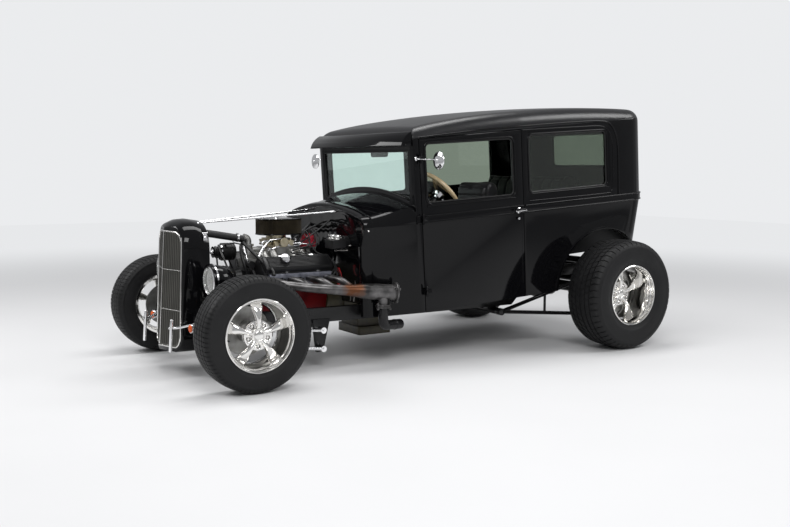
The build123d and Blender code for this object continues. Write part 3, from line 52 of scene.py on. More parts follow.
# Driving sizes, in millimetres
AXLE_X = joint_at["spin_rear_left"].x * 1000
WHEELBASE = 2730.0
RAKE = radians(3.9)
REAR_TYRE = {"radius": 376.0, "width": 298.0, "face": 992.0}
FRONT_TYRE = {"radius": 325.0, "width": 202.0, "face": 847.0}
RIM_R = 206.0
STUD_R = 60.3
AXLE_BORE = 21.2
SPOKES = 5


# Shapes


def level(x, y, z):
    """A point of the level body, raked into the car's place."""
    return (x * cos(RAKE) + z * sin(RAKE), y, -x * sin(RAKE) + z * cos(RAKE))


def blend_between(a, b, t):
    return a + (b - a) * t


def smooth_path(points, steps=8, closed=False):
    """Points along a smooth curve through the given points."""
    p = [Vector(q) for q in points]
    n = len(p)
    out = []
    last = n if closed else n - 1
    for i in range(last):
        if closed:
            p0, p1, p2, p3 = p[i - 1], p[i], p[(i + 1) % n], p[(i + 2) % n]
        else:
            p1, p2 = p[i], p[i + 1]
            p0 = p[i - 1] if i > 0 else p1 * 2 - p2
            p3 = p[i + 2] if i + 2 < n else p2 * 2 - p1
        for k in range(steps):
            t = k / steps
            out.append(
                0.5 * ((2 * p1) + (p2 - p0) * t + (2 * p0 - 5 * p1 + 4 * p2 - p3) * t**2
                       + (3 * p1 - 3 * p2 + p3 - p0) * t**3)
            )
    if not closed:
        out.append(p[-1])
    return out


def bent_path(points, radius, steps=6):
    """Points along straight runs whose corners are rounded to a radius."""
    p = [Vector(q) for q in points]
    out = [p[0]]
    for a, b, c in zip(p, p[1:], p[2:]):
        u, v = (a - b).normalized(), (c - b).normalized()
        half = u.angle(v) / 2
        cut = min(radius / max(sin(half) / cos(half), 1e-3), 0.48 * (a - b).length, 0.48 * (c - b).length)
        start, end = b + u * cut, b + v * cut
        for k in range(steps + 1):
            t = k / steps
            out.append((start * (1 - t) + b * t) * (1 - t) + (b * (1 - t) + end * t) * t)
    out.append(p[-1])
    return out


class Shape:
    """A mesh drawn in millimetres in the car's place, in one or more finishes."""

    def __init__(self):
        self.verts = []
        self.faces = []
        self.marks = []
        self.finish = 0

    def add(self, verts, faces):
        first = len(self.verts)
        self.verts += [tuple(v) for v in verts]
        self.faces += [tuple(first + i for i in f) for f in faces]
        self.marks += [self.finish] * len(faces)

    def grid(self, rows, wrap=False, loop=False, caps=False):
        """Quads between rows of equal length. wrap closes each row, loop joins the last row to the first."""
        n, m = len(rows), len(rows[0])
        faces = []
        for i in range(n if loop else n - 1):
            for j in range(m if wrap else m - 1):
                a, b = i * m + j, i * m + (j + 1) % m
                c, d = ((i + 1) % n) * m + (j + 1) % m, ((i + 1) % n) * m + j
                faces.append((a, b, c, d))
        if caps:
            faces.append(tuple(reversed(range(m))))
            faces.append(tuple((n - 1) * m + j for j in range(m)))
        self.add([v for row in rows for v in row], faces)

    def tube(self, path, radius, sides=10, closed=False, flat=1.0, up=(0, 0, 1)):
        """A round bar along a path. radius is a number or one for each point; flat squeezes it along up."""
        p = [Vector(q) for q in path]
        n = len(p)
        radii = radius if isinstance(radius, (list, tuple)) else [radius] * n
        tangents = []
        for i in range(n):
            a = p[i - 1] if i or closed else p[i]
            b = p[(i + 1) % n] if i < n - 1 or closed else p[i]
            tangents.append((b - a).normalized())
        side = tangents[0].cross(Vector(up))
        if side.length < 1e-3:
            side = tangents[0].cross(Vector((1, 0, 0)))
        side.normalize()
        rows = []
        for q, t, r in zip(p, tangents, radii):
            side = (side - t * side.dot(t)).normalized()
            lift = side.cross(t)
            rows.append([
                q + side * (r * cos(2 * pi * k / sides)) + lift * (r * flat * sin(2 * pi * k / sides))
                for k in range(sides)
            ])
        self.grid(rows, wrap=True, loop=closed, caps=not closed)

    def rod(self, p, q, r, r_end=None, sides=20):
        self.tube([p, q], [r, r if r_end is None else r_end], sides)

    def lathe(self, profile, centre, axis=(0, 1, 0), steps=48, start=0.0, closed=True):
        """Turns (along, radius) points about an axis; closed joins the last point to the first."""
        axis = Vector(axis).normalized()
        side = axis.cross(Vector((0, 0, 1)))
        side = side.normalized() if side.length > 1e-3 else Vector((1, 0, 0))
        lift = side.cross(axis)
        centre = Vector(centre)
        rows = []
        for k in range(steps):
            a = start + 2 * pi * k / steps
            out = side * cos(a) + lift * sin(a)
            rows.append([centre + axis * s + out * r for s, r in profile])
        self.grid(rows, wrap=closed, loop=True)

    def block(self, x0, x1, y0, y1, z0, z1):
        v = [(x, y, z) for x in (x0, x1) for y in (y0, y1) for z in (z0, z1)]
        self.add(v, [(0, 1, 3, 2), (4, 6, 7, 5), (0, 4, 5, 1), (2, 3, 7, 6), (0, 2, 6, 4), (1, 5, 7, 3)])

    def slab(self, outline, thick):
        """A flat plate: an outline of points in a plane, thickened along the vector thick."""
        n = len(outline)
        top = [Vector(p) + Vector(thick) for p in outline]
        faces = [tuple(range(n)), tuple(reversed(range(n, 2 * n)))]
        faces += [(i, i + n, (i + 1) % n + n, (i + 1) % n) for i in range(n)]
        self.add(list(outline) + top, faces)

    def bolt(self, at, axis, r=8.0, high=6.0):
        """A hexagon bolt head with its washer."""
        axis = Vector(axis).normalized()
        at = Vector(at)
        self.rod(at, at + axis * 1.6, r * 1.25, sides=16)
        self.rod(at + axis * 1.6, at + axis * (1.6 + high), r, r * 0.94, sides=6)

    def move(self, matrix, since=0):
        for i in range(since, len(self.verts)):
            self.verts[i] = tuple(matrix @ Vector(self.verts[i]))

    def mirror(self, since=0, since_face=0):
        """Adds the mirror image of all that was drawn since, on the car's other side."""
        n = len(self.verts)
        faces = self.faces[since_face:]
        marks = self.marks[since_face:]
        self.verts += [(x, -y, z) for x, y, z in self.verts[since:]]
        self.faces += [tuple(reversed([i - since + n for i in f])) for f in faces]
        self.marks += marks

    def build(self, name, finishes, body="chassis", slot=None, angle=40, bevel=0.0, rounds=0):
        """Makes the mesh object, gives it its finishes and lets it ride on its body."""
        mesh = bpy.data.meshes.new(name)
        mesh.from_pydata([((x + AXLE_X) / 1000, y / 1000, z / 1000) for x, y, z in self.verts], [],
                         self.faces)
        mesh.update()
        finishes = finishes if isinstance(finishes, (list, tuple)) else [finishes]
        for finish in finishes:
            mesh.materials.append(finish)
        mesh.polygons.foreach_set("material_index", self.marks)
        work = bmesh.new()
        work.from_mesh(mesh)
        bmesh.ops.remove_doubles(work, verts=work.verts, dist=1e-6)
        bmesh.ops.recalc_face_normals(work, faces=work.faces)
        for edge in work.edges:
            sharp = len(edge.link_faces) != 2 or edge.calc_face_angle(0) > radians(angle)
            edge.smooth = not sharp
        for face in work.faces:
            face.smooth = True
        work.to_mesh(mesh)
        work.free()
        obj = bpy.data.objects.new(name, mesh)
        bpy.context.collection.objects.link(obj)
        if bevel > 0:
            edge = obj.modifiers.new("edges", "BEVEL")
            edge.width = bevel / 1000
            edge.segments = 2
            edge.limit_method = "ANGLE"
            edge.angle_limit = radians(angle)
            edge.harden_normals = True
        if rounds:
            soft = obj.modifiers.new("soft", "SUBSURF")
            soft.levels = rounds
            soft.render_levels = rounds
        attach(obj, body)
        return obj


# Finishes


def finish(name, colour, rough, metal=0.0, second=None, mix_scale=6.0, grain=0.0, grain_scale=900.0,
           rough_spread=0.06, coat=0.0, clear=0.0, sheen=0.0, spread=0.5, specular=0.5):
    """A finish whose colour, roughness and fine relief vary over the surface."""
    mat = bpy.data.materials.new(name)
    mat.use_nodes = True
    tree = mat.node_tree
    link = tree.links.new
    shader = tree.nodes["Principled BSDF"]
    place = tree.nodes.new("ShaderNodeTexCoord")
    cloud = tree.nodes.new("ShaderNodeTexNoise")
    cloud.inputs["Scale"].default_value = mix_scale
    cloud.inputs["Detail"].default_value = 6
    link(place.outputs["Object"], cloud.inputs["Vector"])
    tone = tree.nodes.new("ShaderNodeValToRGB")
    tone.color_ramp.elements[0].position = 0.5 - spread / 2
    tone.color_ramp.elements[1].position = 0.5 + spread / 2
    second = second or tuple(c * 0.8 for c in colour)
    tone.color_ramp.elements[0].color = (*second, 1)
    tone.color_ramp.elements[1].color = (*colour, 1)
    link(cloud.outputs["Fac"], tone.inputs["Fac"])
    link(tone.outputs["Color"], shader.inputs["Base Color"])
    gloss = tree.nodes.new("ShaderNodeMapRange")
    gloss.inputs["To Min"].default_value = max(rough - rough_spread, 0.0)
    gloss.inputs["To Max"].default_value = min(rough + rough_spread, 1.0)
    link(cloud.outputs["Fac"], gloss.inputs["Value"])
    link(gloss.outputs["Result"], shader.inputs["Roughness"])
    shader.inputs["Metallic"].default_value = metal
    shader.inputs["Specular IOR Level"].default_value = specular
    shader.inputs["Coat Weight"].default_value = coat
    shader.inputs["Coat Roughness"].default_value = 0.02
    shader.inputs["Transmission Weight"].default_value = clear
    shader.inputs["Sheen Weight"].default_value = sheen
    if grain:
        fine = tree.nodes.new("ShaderNodeTexNoise")
        fine.inputs["Scale"].default_value = grain_scale
        fine.inputs["Detail"].default_value = 3
        link(place.outputs["Object"], fine.inputs["Vector"])
        relief = tree.nodes.new("ShaderNodeBump")
        relief.inputs["Strength"].default_value = grain
        relief.inputs["Distance"].default_value = 0.0006
        link(fine.outputs["Fac"], relief.inputs["Height"])
        link(relief.outputs["Normal"], shader.inputs["Normal"])
    return mat


def rust_over(mat, colour, centre, reach):
    """Adds a rusty patch round a place, broken up at its border."""
    tree = mat.node_tree
    link = tree.links.new
    shader = tree.nodes["Principled BSDF"]
    before = shader.inputs["Base Color"].links[0].from_socket
    place = tree.nodes.new("ShaderNodeTexCoord")
    far = tree.nodes.new("ShaderNodeVectorMath")
    far.operation = "DISTANCE"
    far.inputs[1].default_value = centre
    link(place.outputs["Object"], far.inputs[0])
    crumble = tree.nodes.new("ShaderNodeTexNoise")
    crumble.inputs["Scale"].default_value = 28
    crumble.inputs["Detail"].default_value = 8
    link(place.outputs["Object"], crumble.inputs["Vector"])
    near = tree.nodes.new("ShaderNodeMapRange")
    near.inputs["From Min"].default_value = reach
    near.inputs["From Max"].default_value = reach * 0.3
    link(far.outputs["Value"], near.inputs["Value"])
    both = tree.nodes.new("ShaderNodeMath")
    both.operation = "MULTIPLY"
    link(near.outputs["Result"], both.inputs[0])
    link(crumble.outputs["Fac"], both.inputs[1])
    edge = tree.nodes.new("ShaderNodeMapRange")
    edge.inputs["From Min"].default_value = 0.22
    edge.inputs["From Max"].default_value = 0.5
    link(both.outputs["Value"], edge.inputs["Value"])
    mix = tree.nodes.new("ShaderNodeMix")
    mix.data_type = "RGBA"
    mix.inputs["B"].default_value = (*colour, 1)
    link(edge.outputs["Result"], mix.inputs["Factor"])
    link(before, mix.inputs["A"])
    link(mix.outputs["Result"], shader.inputs["Base Color"])


def car_metres(x, y, z):
    return ((x + AXLE_X) / 1000, y / 1000, z / 1000)


black_gloss = finish("black_gloss", (0.003, 0.003, 0.0035), 0.06, second=(0.002, 0.002, 0.0025),
                     rough_spread=0.015,
                     grain=0.01, grain_scale=500, specular=0.2)
roof_black = finish("roof_black", (0.008, 0.008, 0.009), 0.3, second=(0.005, 0.005, 0.006), rough_spread=0.05,
                    grain=0.25, grain_scale=1400, specular=0.4)
frame_black = finish("frame_black", (0.008, 0.008, 0.009), 0.25, second=(0.005, 0.005, 0.005), grain=0.05,
                     specular=0.3)
satin_black = finish("satin_black", (0.009, 0.009, 0.01), 0.4, second=(0.005, 0.005, 0.005), grain=0.2,
                     grain_scale=700,
                     specular=0.3)
crackle = finish("crackle", (0.009, 0.009, 0.01), 0.36, second=(0.006, 0.006, 0.006), grain=0.5,
                 grain_scale=1500,
                 specular=0.35)
polished = finish("polished", (0.86, 0.85, 0.83), 0.09, 1.0, second=(0.72, 0.71, 0.69), mix_scale=14,
                  grain=0.03,
                  grain_scale=300, rough_spread=0.05)
chrome = finish("chrome", (0.9, 0.9, 0.91), 0.045, 1.0, second=(0.82, 0.82, 0.83), rough_spread=0.02)
steel = finish("steel", (0.42, 0.41, 0.4), 0.32, 1.0, second=(0.25, 0.24, 0.23), mix_scale=30, grain=0.3)
cast = finish("cast", (0.42, 0.42, 0.41), 0.4, 1.0, second=(0.24, 0.235, 0.22), mix_scale=22, grain=0.6,
              grain_scale=420)
brass_zinc = finish("brass_zinc", (0.55, 0.5, 0.38), 0.3, 1.0, second=(0.36, 0.31, 0.2), mix_scale=26,
                    grain=0.5,
                    grain_scale=420)
header_steel = finish("header_steel", (0.16, 0.155, 0.155), 0.36, 0.8, second=(0.035, 0.034, 0.034),
                      mix_scale=14,
                      rough_spread=0.12, grain=0.35, grain_scale=300, spread=0.3)
heat_blue = finish("heat_blue", (0.36, 0.37, 0.43), 0.3, 1.0, second=(0.16, 0.165, 0.2), mix_scale=30)
# The engine's red is darkened well below its paint colour: painted shade over the crankcase.
shade_darkened_red_paint = finish("shade_darkened_red_paint", (0.15, 0.003, 0.005), 0.35, second=(0.06, 0.002, 0.003), mix_scale=14,
                   grain=0.4, grain_scale=160,
                   specular=0.3)
red_wire = finish("red_wire", (0.4, 0.01, 0.012), 0.4, second=(0.28, 0.008, 0.01), grain=0.1)
red_cap = finish("red_cap", (0.4, 0.03, 0.05), 0.2, second=(0.26, 0.02, 0.03), grain=0.05)
olive_case = finish("olive_case", (0.05, 0.042, 0.018), 0.45, second=(0.018, 0.016, 0.009), mix_scale=20,
                    grain=0.4,
                    grain_scale=300)
tyre_rubber = finish("tyre_rubber", (0.012, 0.012, 0.0125), 0.55, second=(0.007, 0.007, 0.0075), mix_scale=9,
                     rough_spread=0.1, grain=0.35, grain_scale=1200, specular=0.22)
hose_rubber = finish("hose_rubber", (0.011, 0.011, 0.012), 0.45, second=(0.007, 0.007, 0.007), grain=0.4,
                     grain_scale=1100,
                     specular=0.4)
gasket = finish("gasket", (0.008, 0.008, 0.008), 0.4, second=(0.005, 0.005, 0.005), grain=0.2, specular=0.35)
grille_grey = finish("grille_grey", (0.085, 0.083, 0.072), 0.4, 0.4, second=(0.06, 0.058, 0.05), grain=0.1)
grille_dark = finish("grille_dark", (0.03, 0.03, 0.027), 0.55, second=(0.022, 0.022, 0.02), grain=0.2)
screen_glass = finish("screen_glass", (0.84, 0.96, 0.92), 0.0, clear=1.0, second=(0.82, 0.94, 0.9),
                      rough_spread=0.0)
dark_glass = finish("dark_glass", (0.24, 0.29, 0.23), 0.0, clear=1.0, second=(0.23, 0.28, 0.22),
                    rough_spread=0.0)
tail_glass = finish("tail_glass", (0.42, 0.46, 0.42), 0.0, clear=1.0, second=(0.4, 0.44, 0.4),
                    rough_spread=0.0)
lamp_glass = finish("lamp_glass", (0.95, 0.96, 0.94), 0.06, clear=0.82, second=(0.92, 0.93, 0.9),
                    rough_spread=0.03)
amber = finish("amber", (0.85, 0.16, 0.015), 0.12, clear=0.3, second=(0.7, 0.1, 0.008), grain=0.3,
               grain_scale=260)
red_lens = finish("red_lens", (0.5, 0.008, 0.008), 0.12, clear=0.3, second=(0.35, 0.006, 0.006), grain=0.3,
                  grain_scale=260)
cream = finish("cream", (0.5, 0.4, 0.25), 0.25, second=(0.38, 0.28, 0.15), mix_scale=18)
leather = finish("leather", (0.012, 0.012, 0.013), 0.45, second=(0.008, 0.008, 0.009), grain=0.8,
                 grain_scale=650, sheen=0.1,
                 specular=0.4)
carpet = finish("carpet", (0.014, 0.014, 0.015), 0.95, second=(0.007, 0.007, 0.007), mix_scale=160, grain=1.0,
                grain_scale=900, sheen=0.2)
headliner = finish("headliner", (0.05, 0.05, 0.052), 0.9, second=(0.04, 0.04, 0.041), mix_scale=120,
                   grain=0.6, grain_scale=900)
paper = finish("paper", (0.035, 0.026, 0.012), 0.75, second=(0.018, 0.013, 0.006), mix_scale=40, grain=0.5)
white_plastic = finish("white_plastic", (0.6, 0.62, 0.62), 0.35, second=(0.5, 0.5, 0.5))
dial_face = finish("dial_face", (0.6, 0.58, 0.5), 0.5, second=(0.5, 0.48, 0.42), mix_scale=60)
reflector = finish("reflector", (0.86, 0.86, 0.82), 0.3, 0.6, second=(0.74, 0.74, 0.7), mix_scale=30,
                   rough_spread=0.1)
rust_over(header_steel, (0.11, 0.042, 0.018), car_metres(1985, 575, 500), 0.12)


def dress(name, *mats, angle=32, bevel=0.0, pick=None):
    """Gives a CAD node its finishes, smooth shading up to an angle and soft edges.

    pick chooses the finish of a face by the place of its middle, in millimetres, and its normal.
    """
    obj = nodes[name]
    obj.data.materials.clear()
    for mat in mats:
        obj.data.materials.append(mat)
    for face in obj.data.polygons:
        face.use_smooth = True
        if pick:
            at = face.center * 1000
            face.material_index = pick((at.x - AXLE_X, at.y, at.z), face.normal)
    weld = obj.modifiers.new("weld", "WELD")
    weld.merge_threshold = 1e-5
    if bevel > 0:
        soft = obj.modifiers.new("edges", "BEVEL")
        soft.width = bevel / 1000
        soft.segments = 2
        soft.limit_method = "ANGLE"
        soft.angle_limit = radians(angle)
        soft.harden_normals = True
    split = obj.modifiers.new("split", "EDGE_SPLIT")
    split.split_angle = radians(angle)
    return obj


# Stage: a pale floor and backdrop, soft light and the camera


def stage_finish(name, colour, rough):
    mat = finish(name, colour, rough, second=tuple(c * 0.985 for c in colour), mix_scale=1.5,
                 rough_spread=0.03)
    return mat


def fade_far(mat):
    """The floor far from the car turns into the pale backdrop, for the camera's own rays."""
    tree = mat.node_tree
    link = tree.links.new
    out = tree.nodes["Material Output"]
    place = tree.nodes.new("ShaderNodeTexCoord")
    far = tree.nodes.new("ShaderNodeVectorMath")
    far.operation = "LENGTH"
    link(place.outputs["Object"], far.inputs[0])
    share = tree.nodes.new("ShaderNodeMapRange")
    share.interpolation_type = "SMOOTHSTEP"
    share.inputs["From Min"].default_value = 2.6
    share.inputs["From Max"].default_value = 10.0
    link(far.outputs["Value"], share.inputs["Value"])
    rays = tree.nodes.new("ShaderNodeLightPath")
    seen = tree.nodes.new("ShaderNodeMath")
    seen.operation = "MULTIPLY"
    link(share.outputs["Result"], seen.inputs[0])
    link(rays.outputs["Is Camera Ray"], seen.inputs[1])
    pale = tree.nodes.new("ShaderNodeEmission")
    pale.inputs["Color"].default_value = (0.8, 0.81, 0.825, 1)
    mix = tree.nodes.new("ShaderNodeMixShader")
    link(seen.outputs["Value"], mix.inputs["Fac"])
    link(tree.nodes["Principled BSDF"].outputs["BSDF"], mix.inputs[1])
    link(pale.outputs["Emission"], mix.inputs[2])
    link(mix.outputs["Shader"], out.inputs["Surface"])
    return mat


def make_stage():
    floor = Shape()
    floor.block(-16000, 16000, -16000, 16000, -30, 0)
    mesh = bpy.data.meshes.new("floor")
    mesh.from_pydata([(x / 1000, y / 1000, z / 1000) for x, y, z in floor.verts], [], floor.faces)
    mesh.materials.append(fade_far(stage_finish("floor_pale", (0.66, 0.66, 0.665), 0.6)))
    ground = bpy.data.objects.new("floor", mesh)
    bpy.context.collection.objects.link(ground)

    world = bpy.data.worlds.new("studio")
    world.use_nodes = True
    bpy.context.scene.world = world
    tree = world.node_tree
    link = tree.links.new
    out = tree.nodes["World Output"]
    light = tree.nodes["Background"]
    light.inputs["Color"].default_value = (0.82, 0.83, 0.85, 1)
    light.inputs["Strength"].default_value = 0.5
    seen = tree.nodes.new("ShaderNodeBackground")
    seen.inputs["Color"].default_value = (0.83, 0.84, 0.855, 1)
    seen.inputs["Strength"].default_value = 1.0
    rays = tree.nodes.new("ShaderNodeLightPath")
    clear = tree.nodes.new("ShaderNodeMath")
    clear.operation = "MAXIMUM"
    link(rays.outputs["Is Camera Ray"], clear.inputs[0])
    link(rays.outputs["Is Transmission Ray"], clear.inputs[1])
    mix = tree.nodes.new("ShaderNodeMixShader")
    link(clear.outputs["Value"], mix.inputs["Fac"])
    link(light.outputs["Background"], mix.inputs[1])
    link(seen.outputs["Background"], mix.inputs[2])
    link(mix.outputs["Shader"], out.inputs["Surface"])

    # soft boxes: place, aim, width, height, watts
    boxes = [
        ((2.5, 5.5, 4.6), (0.0, 0.0, 0.6), 3.0, 2.0, 210),
        ((-4.5, 3.5, 4.4), (-0.5, 0.0, 0.7), 3.0, 2.0, 150),
        ((4.6, -2.5, 4.2), (0.4, 0.0, 0.6), 3.0, 2.0, 150),
        ((0.0, 0.0, 5.4), (0.0, 0.0, 0.0), 4.5, 1.6, 170),
    ]
    for i, (place, aim, wide, high, watts) in enumerate(boxes):
        data = bpy.data.lights.new(f"soft_box_{i}", "AREA")
        data.shape = "RECTANGLE"
        data.size, data.size_y, data.energy = wide, high, watts
        lamp = bpy.data.objects.new(f"soft_box_{i}", data)
        lamp.location = place
        lamp.rotation_euler = (Vector(aim) - Vector(place)).to_track_quat("-Z", "Y").to_euler()
        bpy.context.collection.objects.link(lamp)


# The photograph's camera: place in millimetres, heading, pitch and roll in degrees, focal length in pixels
CAMERA = {"x": 4936.0, "y": 5569.0, "z": 1235.0, "heading": 236.971, "pitch": -5.643, "roll": 0.221,
          "focal": 962.8}
PHOTO_WIDTH = 790


def make_camera():
    data = bpy.data.cameras.new("camera")
    data.sensor_width = 36
    data.lens = CAMERA["focal"] * 36 / PHOTO_WIDTH
    data.clip_end = 200
    camera = bpy.data.objects.new("camera", data)
    a, b, r = radians(CAMERA["heading"]), radians(CAMERA["pitch"]), radians(CAMERA["roll"])
    ahead = Vector((cos(b) * cos(a), cos(b) * sin(a), sin(b)))
    right = ahead.cross(Vector((0, 0, 1))).normalized()
    up = right.cross(ahead)
    right, up = right * cos(r) + up * sin(r), up * cos(r) - right * sin(r)
    camera.matrix_world = Matrix.Translation(car_metres(CAMERA["x"], CAMERA["y"], CAMERA["z"])) @ Matrix(
        (right, up, -ahead)).transposed().to_4x4()
    bpy.context.collection.objects.link(camera)
    bpy.context.scene.camera = camera
    bpy.context.scene.view_settings.view_transform = "Standard"


make_stage()
make_camera()


# Tyres: rings across the tyre and columns round it, both placed on the edges of the grooves


def tyre_rings(size, bead, shoulder, grooves):
    """Across the tyre from mid-plane outwards: (along, radius, groove depth share, cross groove share)."""
    half, outer = size["width"] / 2, size["radius"]
    crown = 0.055 * size["width"] * 0.5
    rings = []

    def top(s):
        return outer - crown * (s / shoulder) ** 2

    for at, wide in grooves:
        inner, out = max(at - wide / 2, 0), at + wide / 2
        if at > 0:
            rings += [(inner - 0.7, top(inner), 0, 1), (inner + 0.7, top(inner), 1, 0)]
        rings += [(out - 0.7, top(out), 1, 0), (out + 0.7, top(out), 0, 1)]
    rings += [(shoulder, top(shoulder), 0, 1)]
    drop = outer - crown
    wall = [
        (0.0, shoulder + 0.42 * (half - shoulder), drop - 0.018 * outer, 0.9),
        (0.0, shoulder + 0.70 * (half - shoulder), drop - 0.043 * outer, 0.7),
        (0.0, shoulder + 0.84 * (half - shoulder), drop - 0.068 * outer, 0.0),
    ]
    rings += [(s, r, 0, cross) for _, s, r, cross in wall]
    low, mid = RIM_R + 2, (RIM_R + outer) / 2
    rings += [
        (half - 2.2, blend_between(mid, outer, 0.48), 0, 0),
        (half - 0.6, blend_between(mid, outer, 0.40), 0, 0),
        (half - 1.2, blend_between(mid, outer, 0.37), 0, 0),
        (half - 0.4, blend_between(mid, outer, 0.15), 0, 0),
        (half - 0.2, mid - 6, 0, 0),
        (half - 1.0, mid - 0.35 * (mid - low), 0, 0),
        (half + 0.2 - 0.35 * (half - bead), mid - 0.62 * (mid - low), 0, 0),
        (half + 0.5 - 0.5 * (half - bead), mid - 0.66 * (mid - low), 0, 0),
        (half - 1.2 - 0.6 * (half - bead), mid - 0.72 * (mid - low), 0, 0),
        (half - 1.4 - 0.9 * (half - bead), low + 5, 0, 0),
        (bead - 4, low - 2, 0, 0),
        (bead - 9, RIM_R - 7, 0, 0),
    ]
    return rings


def tyre(name, size, x, side, bead, shoulder, grooves, pitches, depth, cross_wide, sweep, body):
    """One tyre with grooves round it and swept grooves across it."""
    half_rings = tyre_rings(size, bead, shoulder, grooves)
    rings = [(-s, *rest) for s, *rest in reversed(half_rings)] + half_rings
    middle = size["face"] - size["width"] / 2
    step = 2 * pi / pitches
    wide = cross_wide / size["radius"]
    shape = Shape()
    rows = []
    for k in range(pitches):
        for offset, sunk in ((0, 0), (0.0012, 1), (wide - 0.0012, 1), (wide, 0),
                             (wide + 0.5 * (step - wide), 0)):
            row = []
            for s, r, groove, cross in rings:
                share = min(abs(s) / shoulder, 1.25)
                angle = k * step + offset + sweep(s, shoulder)
                down = max(groove, sunk * cross * (0.45 if share < 0.5 else 0.9)) * depth
                q = r - down
                row.append((x + q * sin(angle), side * (middle + s), size["radius"] + q * cos(angle)))
            rows.append(row)
    shape.grid(rows, wrap=True, loop=True)
    piece = shape.build(name, tyre_rubber, body, "tyre_rubber", angle=50)
    return piece


def rear_sweep(s, shoulder):
    """The rear tread's grooves run forward from the middle to the shoulders in a V."""
    share = min(abs(s) / shoulder, 1.0)
    return -0.16 * share**0.8


def front_sweep(s, shoulder):
    return 0.02 * s / shoulder


for side, way in (("left", 1), ("right", -1)):
    front = tyre(f"front_tyre_{side}", FRONT_TYRE, WHEELBASE, way, 96, 78, [(20, 6), (50, 6)], 76, 6.5, 4.0,
                 front_sweep,
                 f"wheel_front_{side}")
    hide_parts(f"tyre_front_{side}")
    rear = tyre(f"rear_tyre_{side}", REAR_TYRE, 0.0, way, 133, 112, [(0, 9), (42, 10), (80, 8)], 52, 8.5,
                7.0, rear_sweep,
                f"wheel_rear_{side}")
    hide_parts(f"tyre_rear_{side}")


# Polished wheels with five rounded spokes

# spoke sections: radius, half width, front and back measured inwards from the hub's face
SPOKE_SECTIONS = [
    (30, 15, 12, 42),
    (52, 14.5, 5, 46),
    (78, 16, 2, 48),
    (104, 20.5, 4, 50),
    (128, 26.5, 10, 51),
    (148, 31, 19, 53),
    (163, 33, 30, 56),
    (175, 35, 43, 60),
    (184, 40, 52, 66),
]


def spoke_loop(r, half, front, back, face, turn, x, z):
    """One rounded cross section of a spoke."""
    loop = []
    for k in range(20):
        t = 2 * pi * k / 20
        c, s = cos(t), sin(t)
        across = half * (abs(c) ** 0.75) * (1 if c >= 0 else -1)
        if s >= 0:
            y = face - front - (back - front) * 0.62 * (1 - abs(s) ** 0.85)
        else:
            y = face - front - (back - front) * (0.62 + 0.38 * abs(s) ** 0.5)
        px, pz = across * cos(turn) + r * sin(turn), -across * sin(turn) + r * cos(turn)
        loop.append((x + px, y, z + pz))
    return loop


def rim_profile(lip, inner, face):
    """The barrel's closed section: rolled lip, step, deep dish, and the drop centre outside."""
    return [
        (lip - 9, 205.5), (lip - 3, 207), (lip + 1.5, 206.3), (lip + 3.6, 203.5), (lip + 3.2, 199.8),
        (lip - 0.5, 197.6),
        (lip - 5.5, 197.0), (lip - 6.5, 194.6), (lip - 20, 192.2), (lip - 24, 188.5), (lip - 27, 187.4),
        (blend_between(lip, face, 0.6) - 18, 184.0), (face - 24, 180.5), (face - 40, 177.0),
        (face - 64, 174.0),
        (face - 68, 171.0), (inner + 40, 169.0), (inner + 6, 186.0), (inner - 1, 190.0), (inner - 2, 204.0),
        (inner + 2, 206.5), (inner + 9, 205.0), (inner + 10, 198.0), (inner + 40, 197.0), (inner + 52, 180.0),
        (face - 76, 180.0), (face - 60, 186.5), (lip - 34, 196.5), (lip - 12, 198.0),
    ]


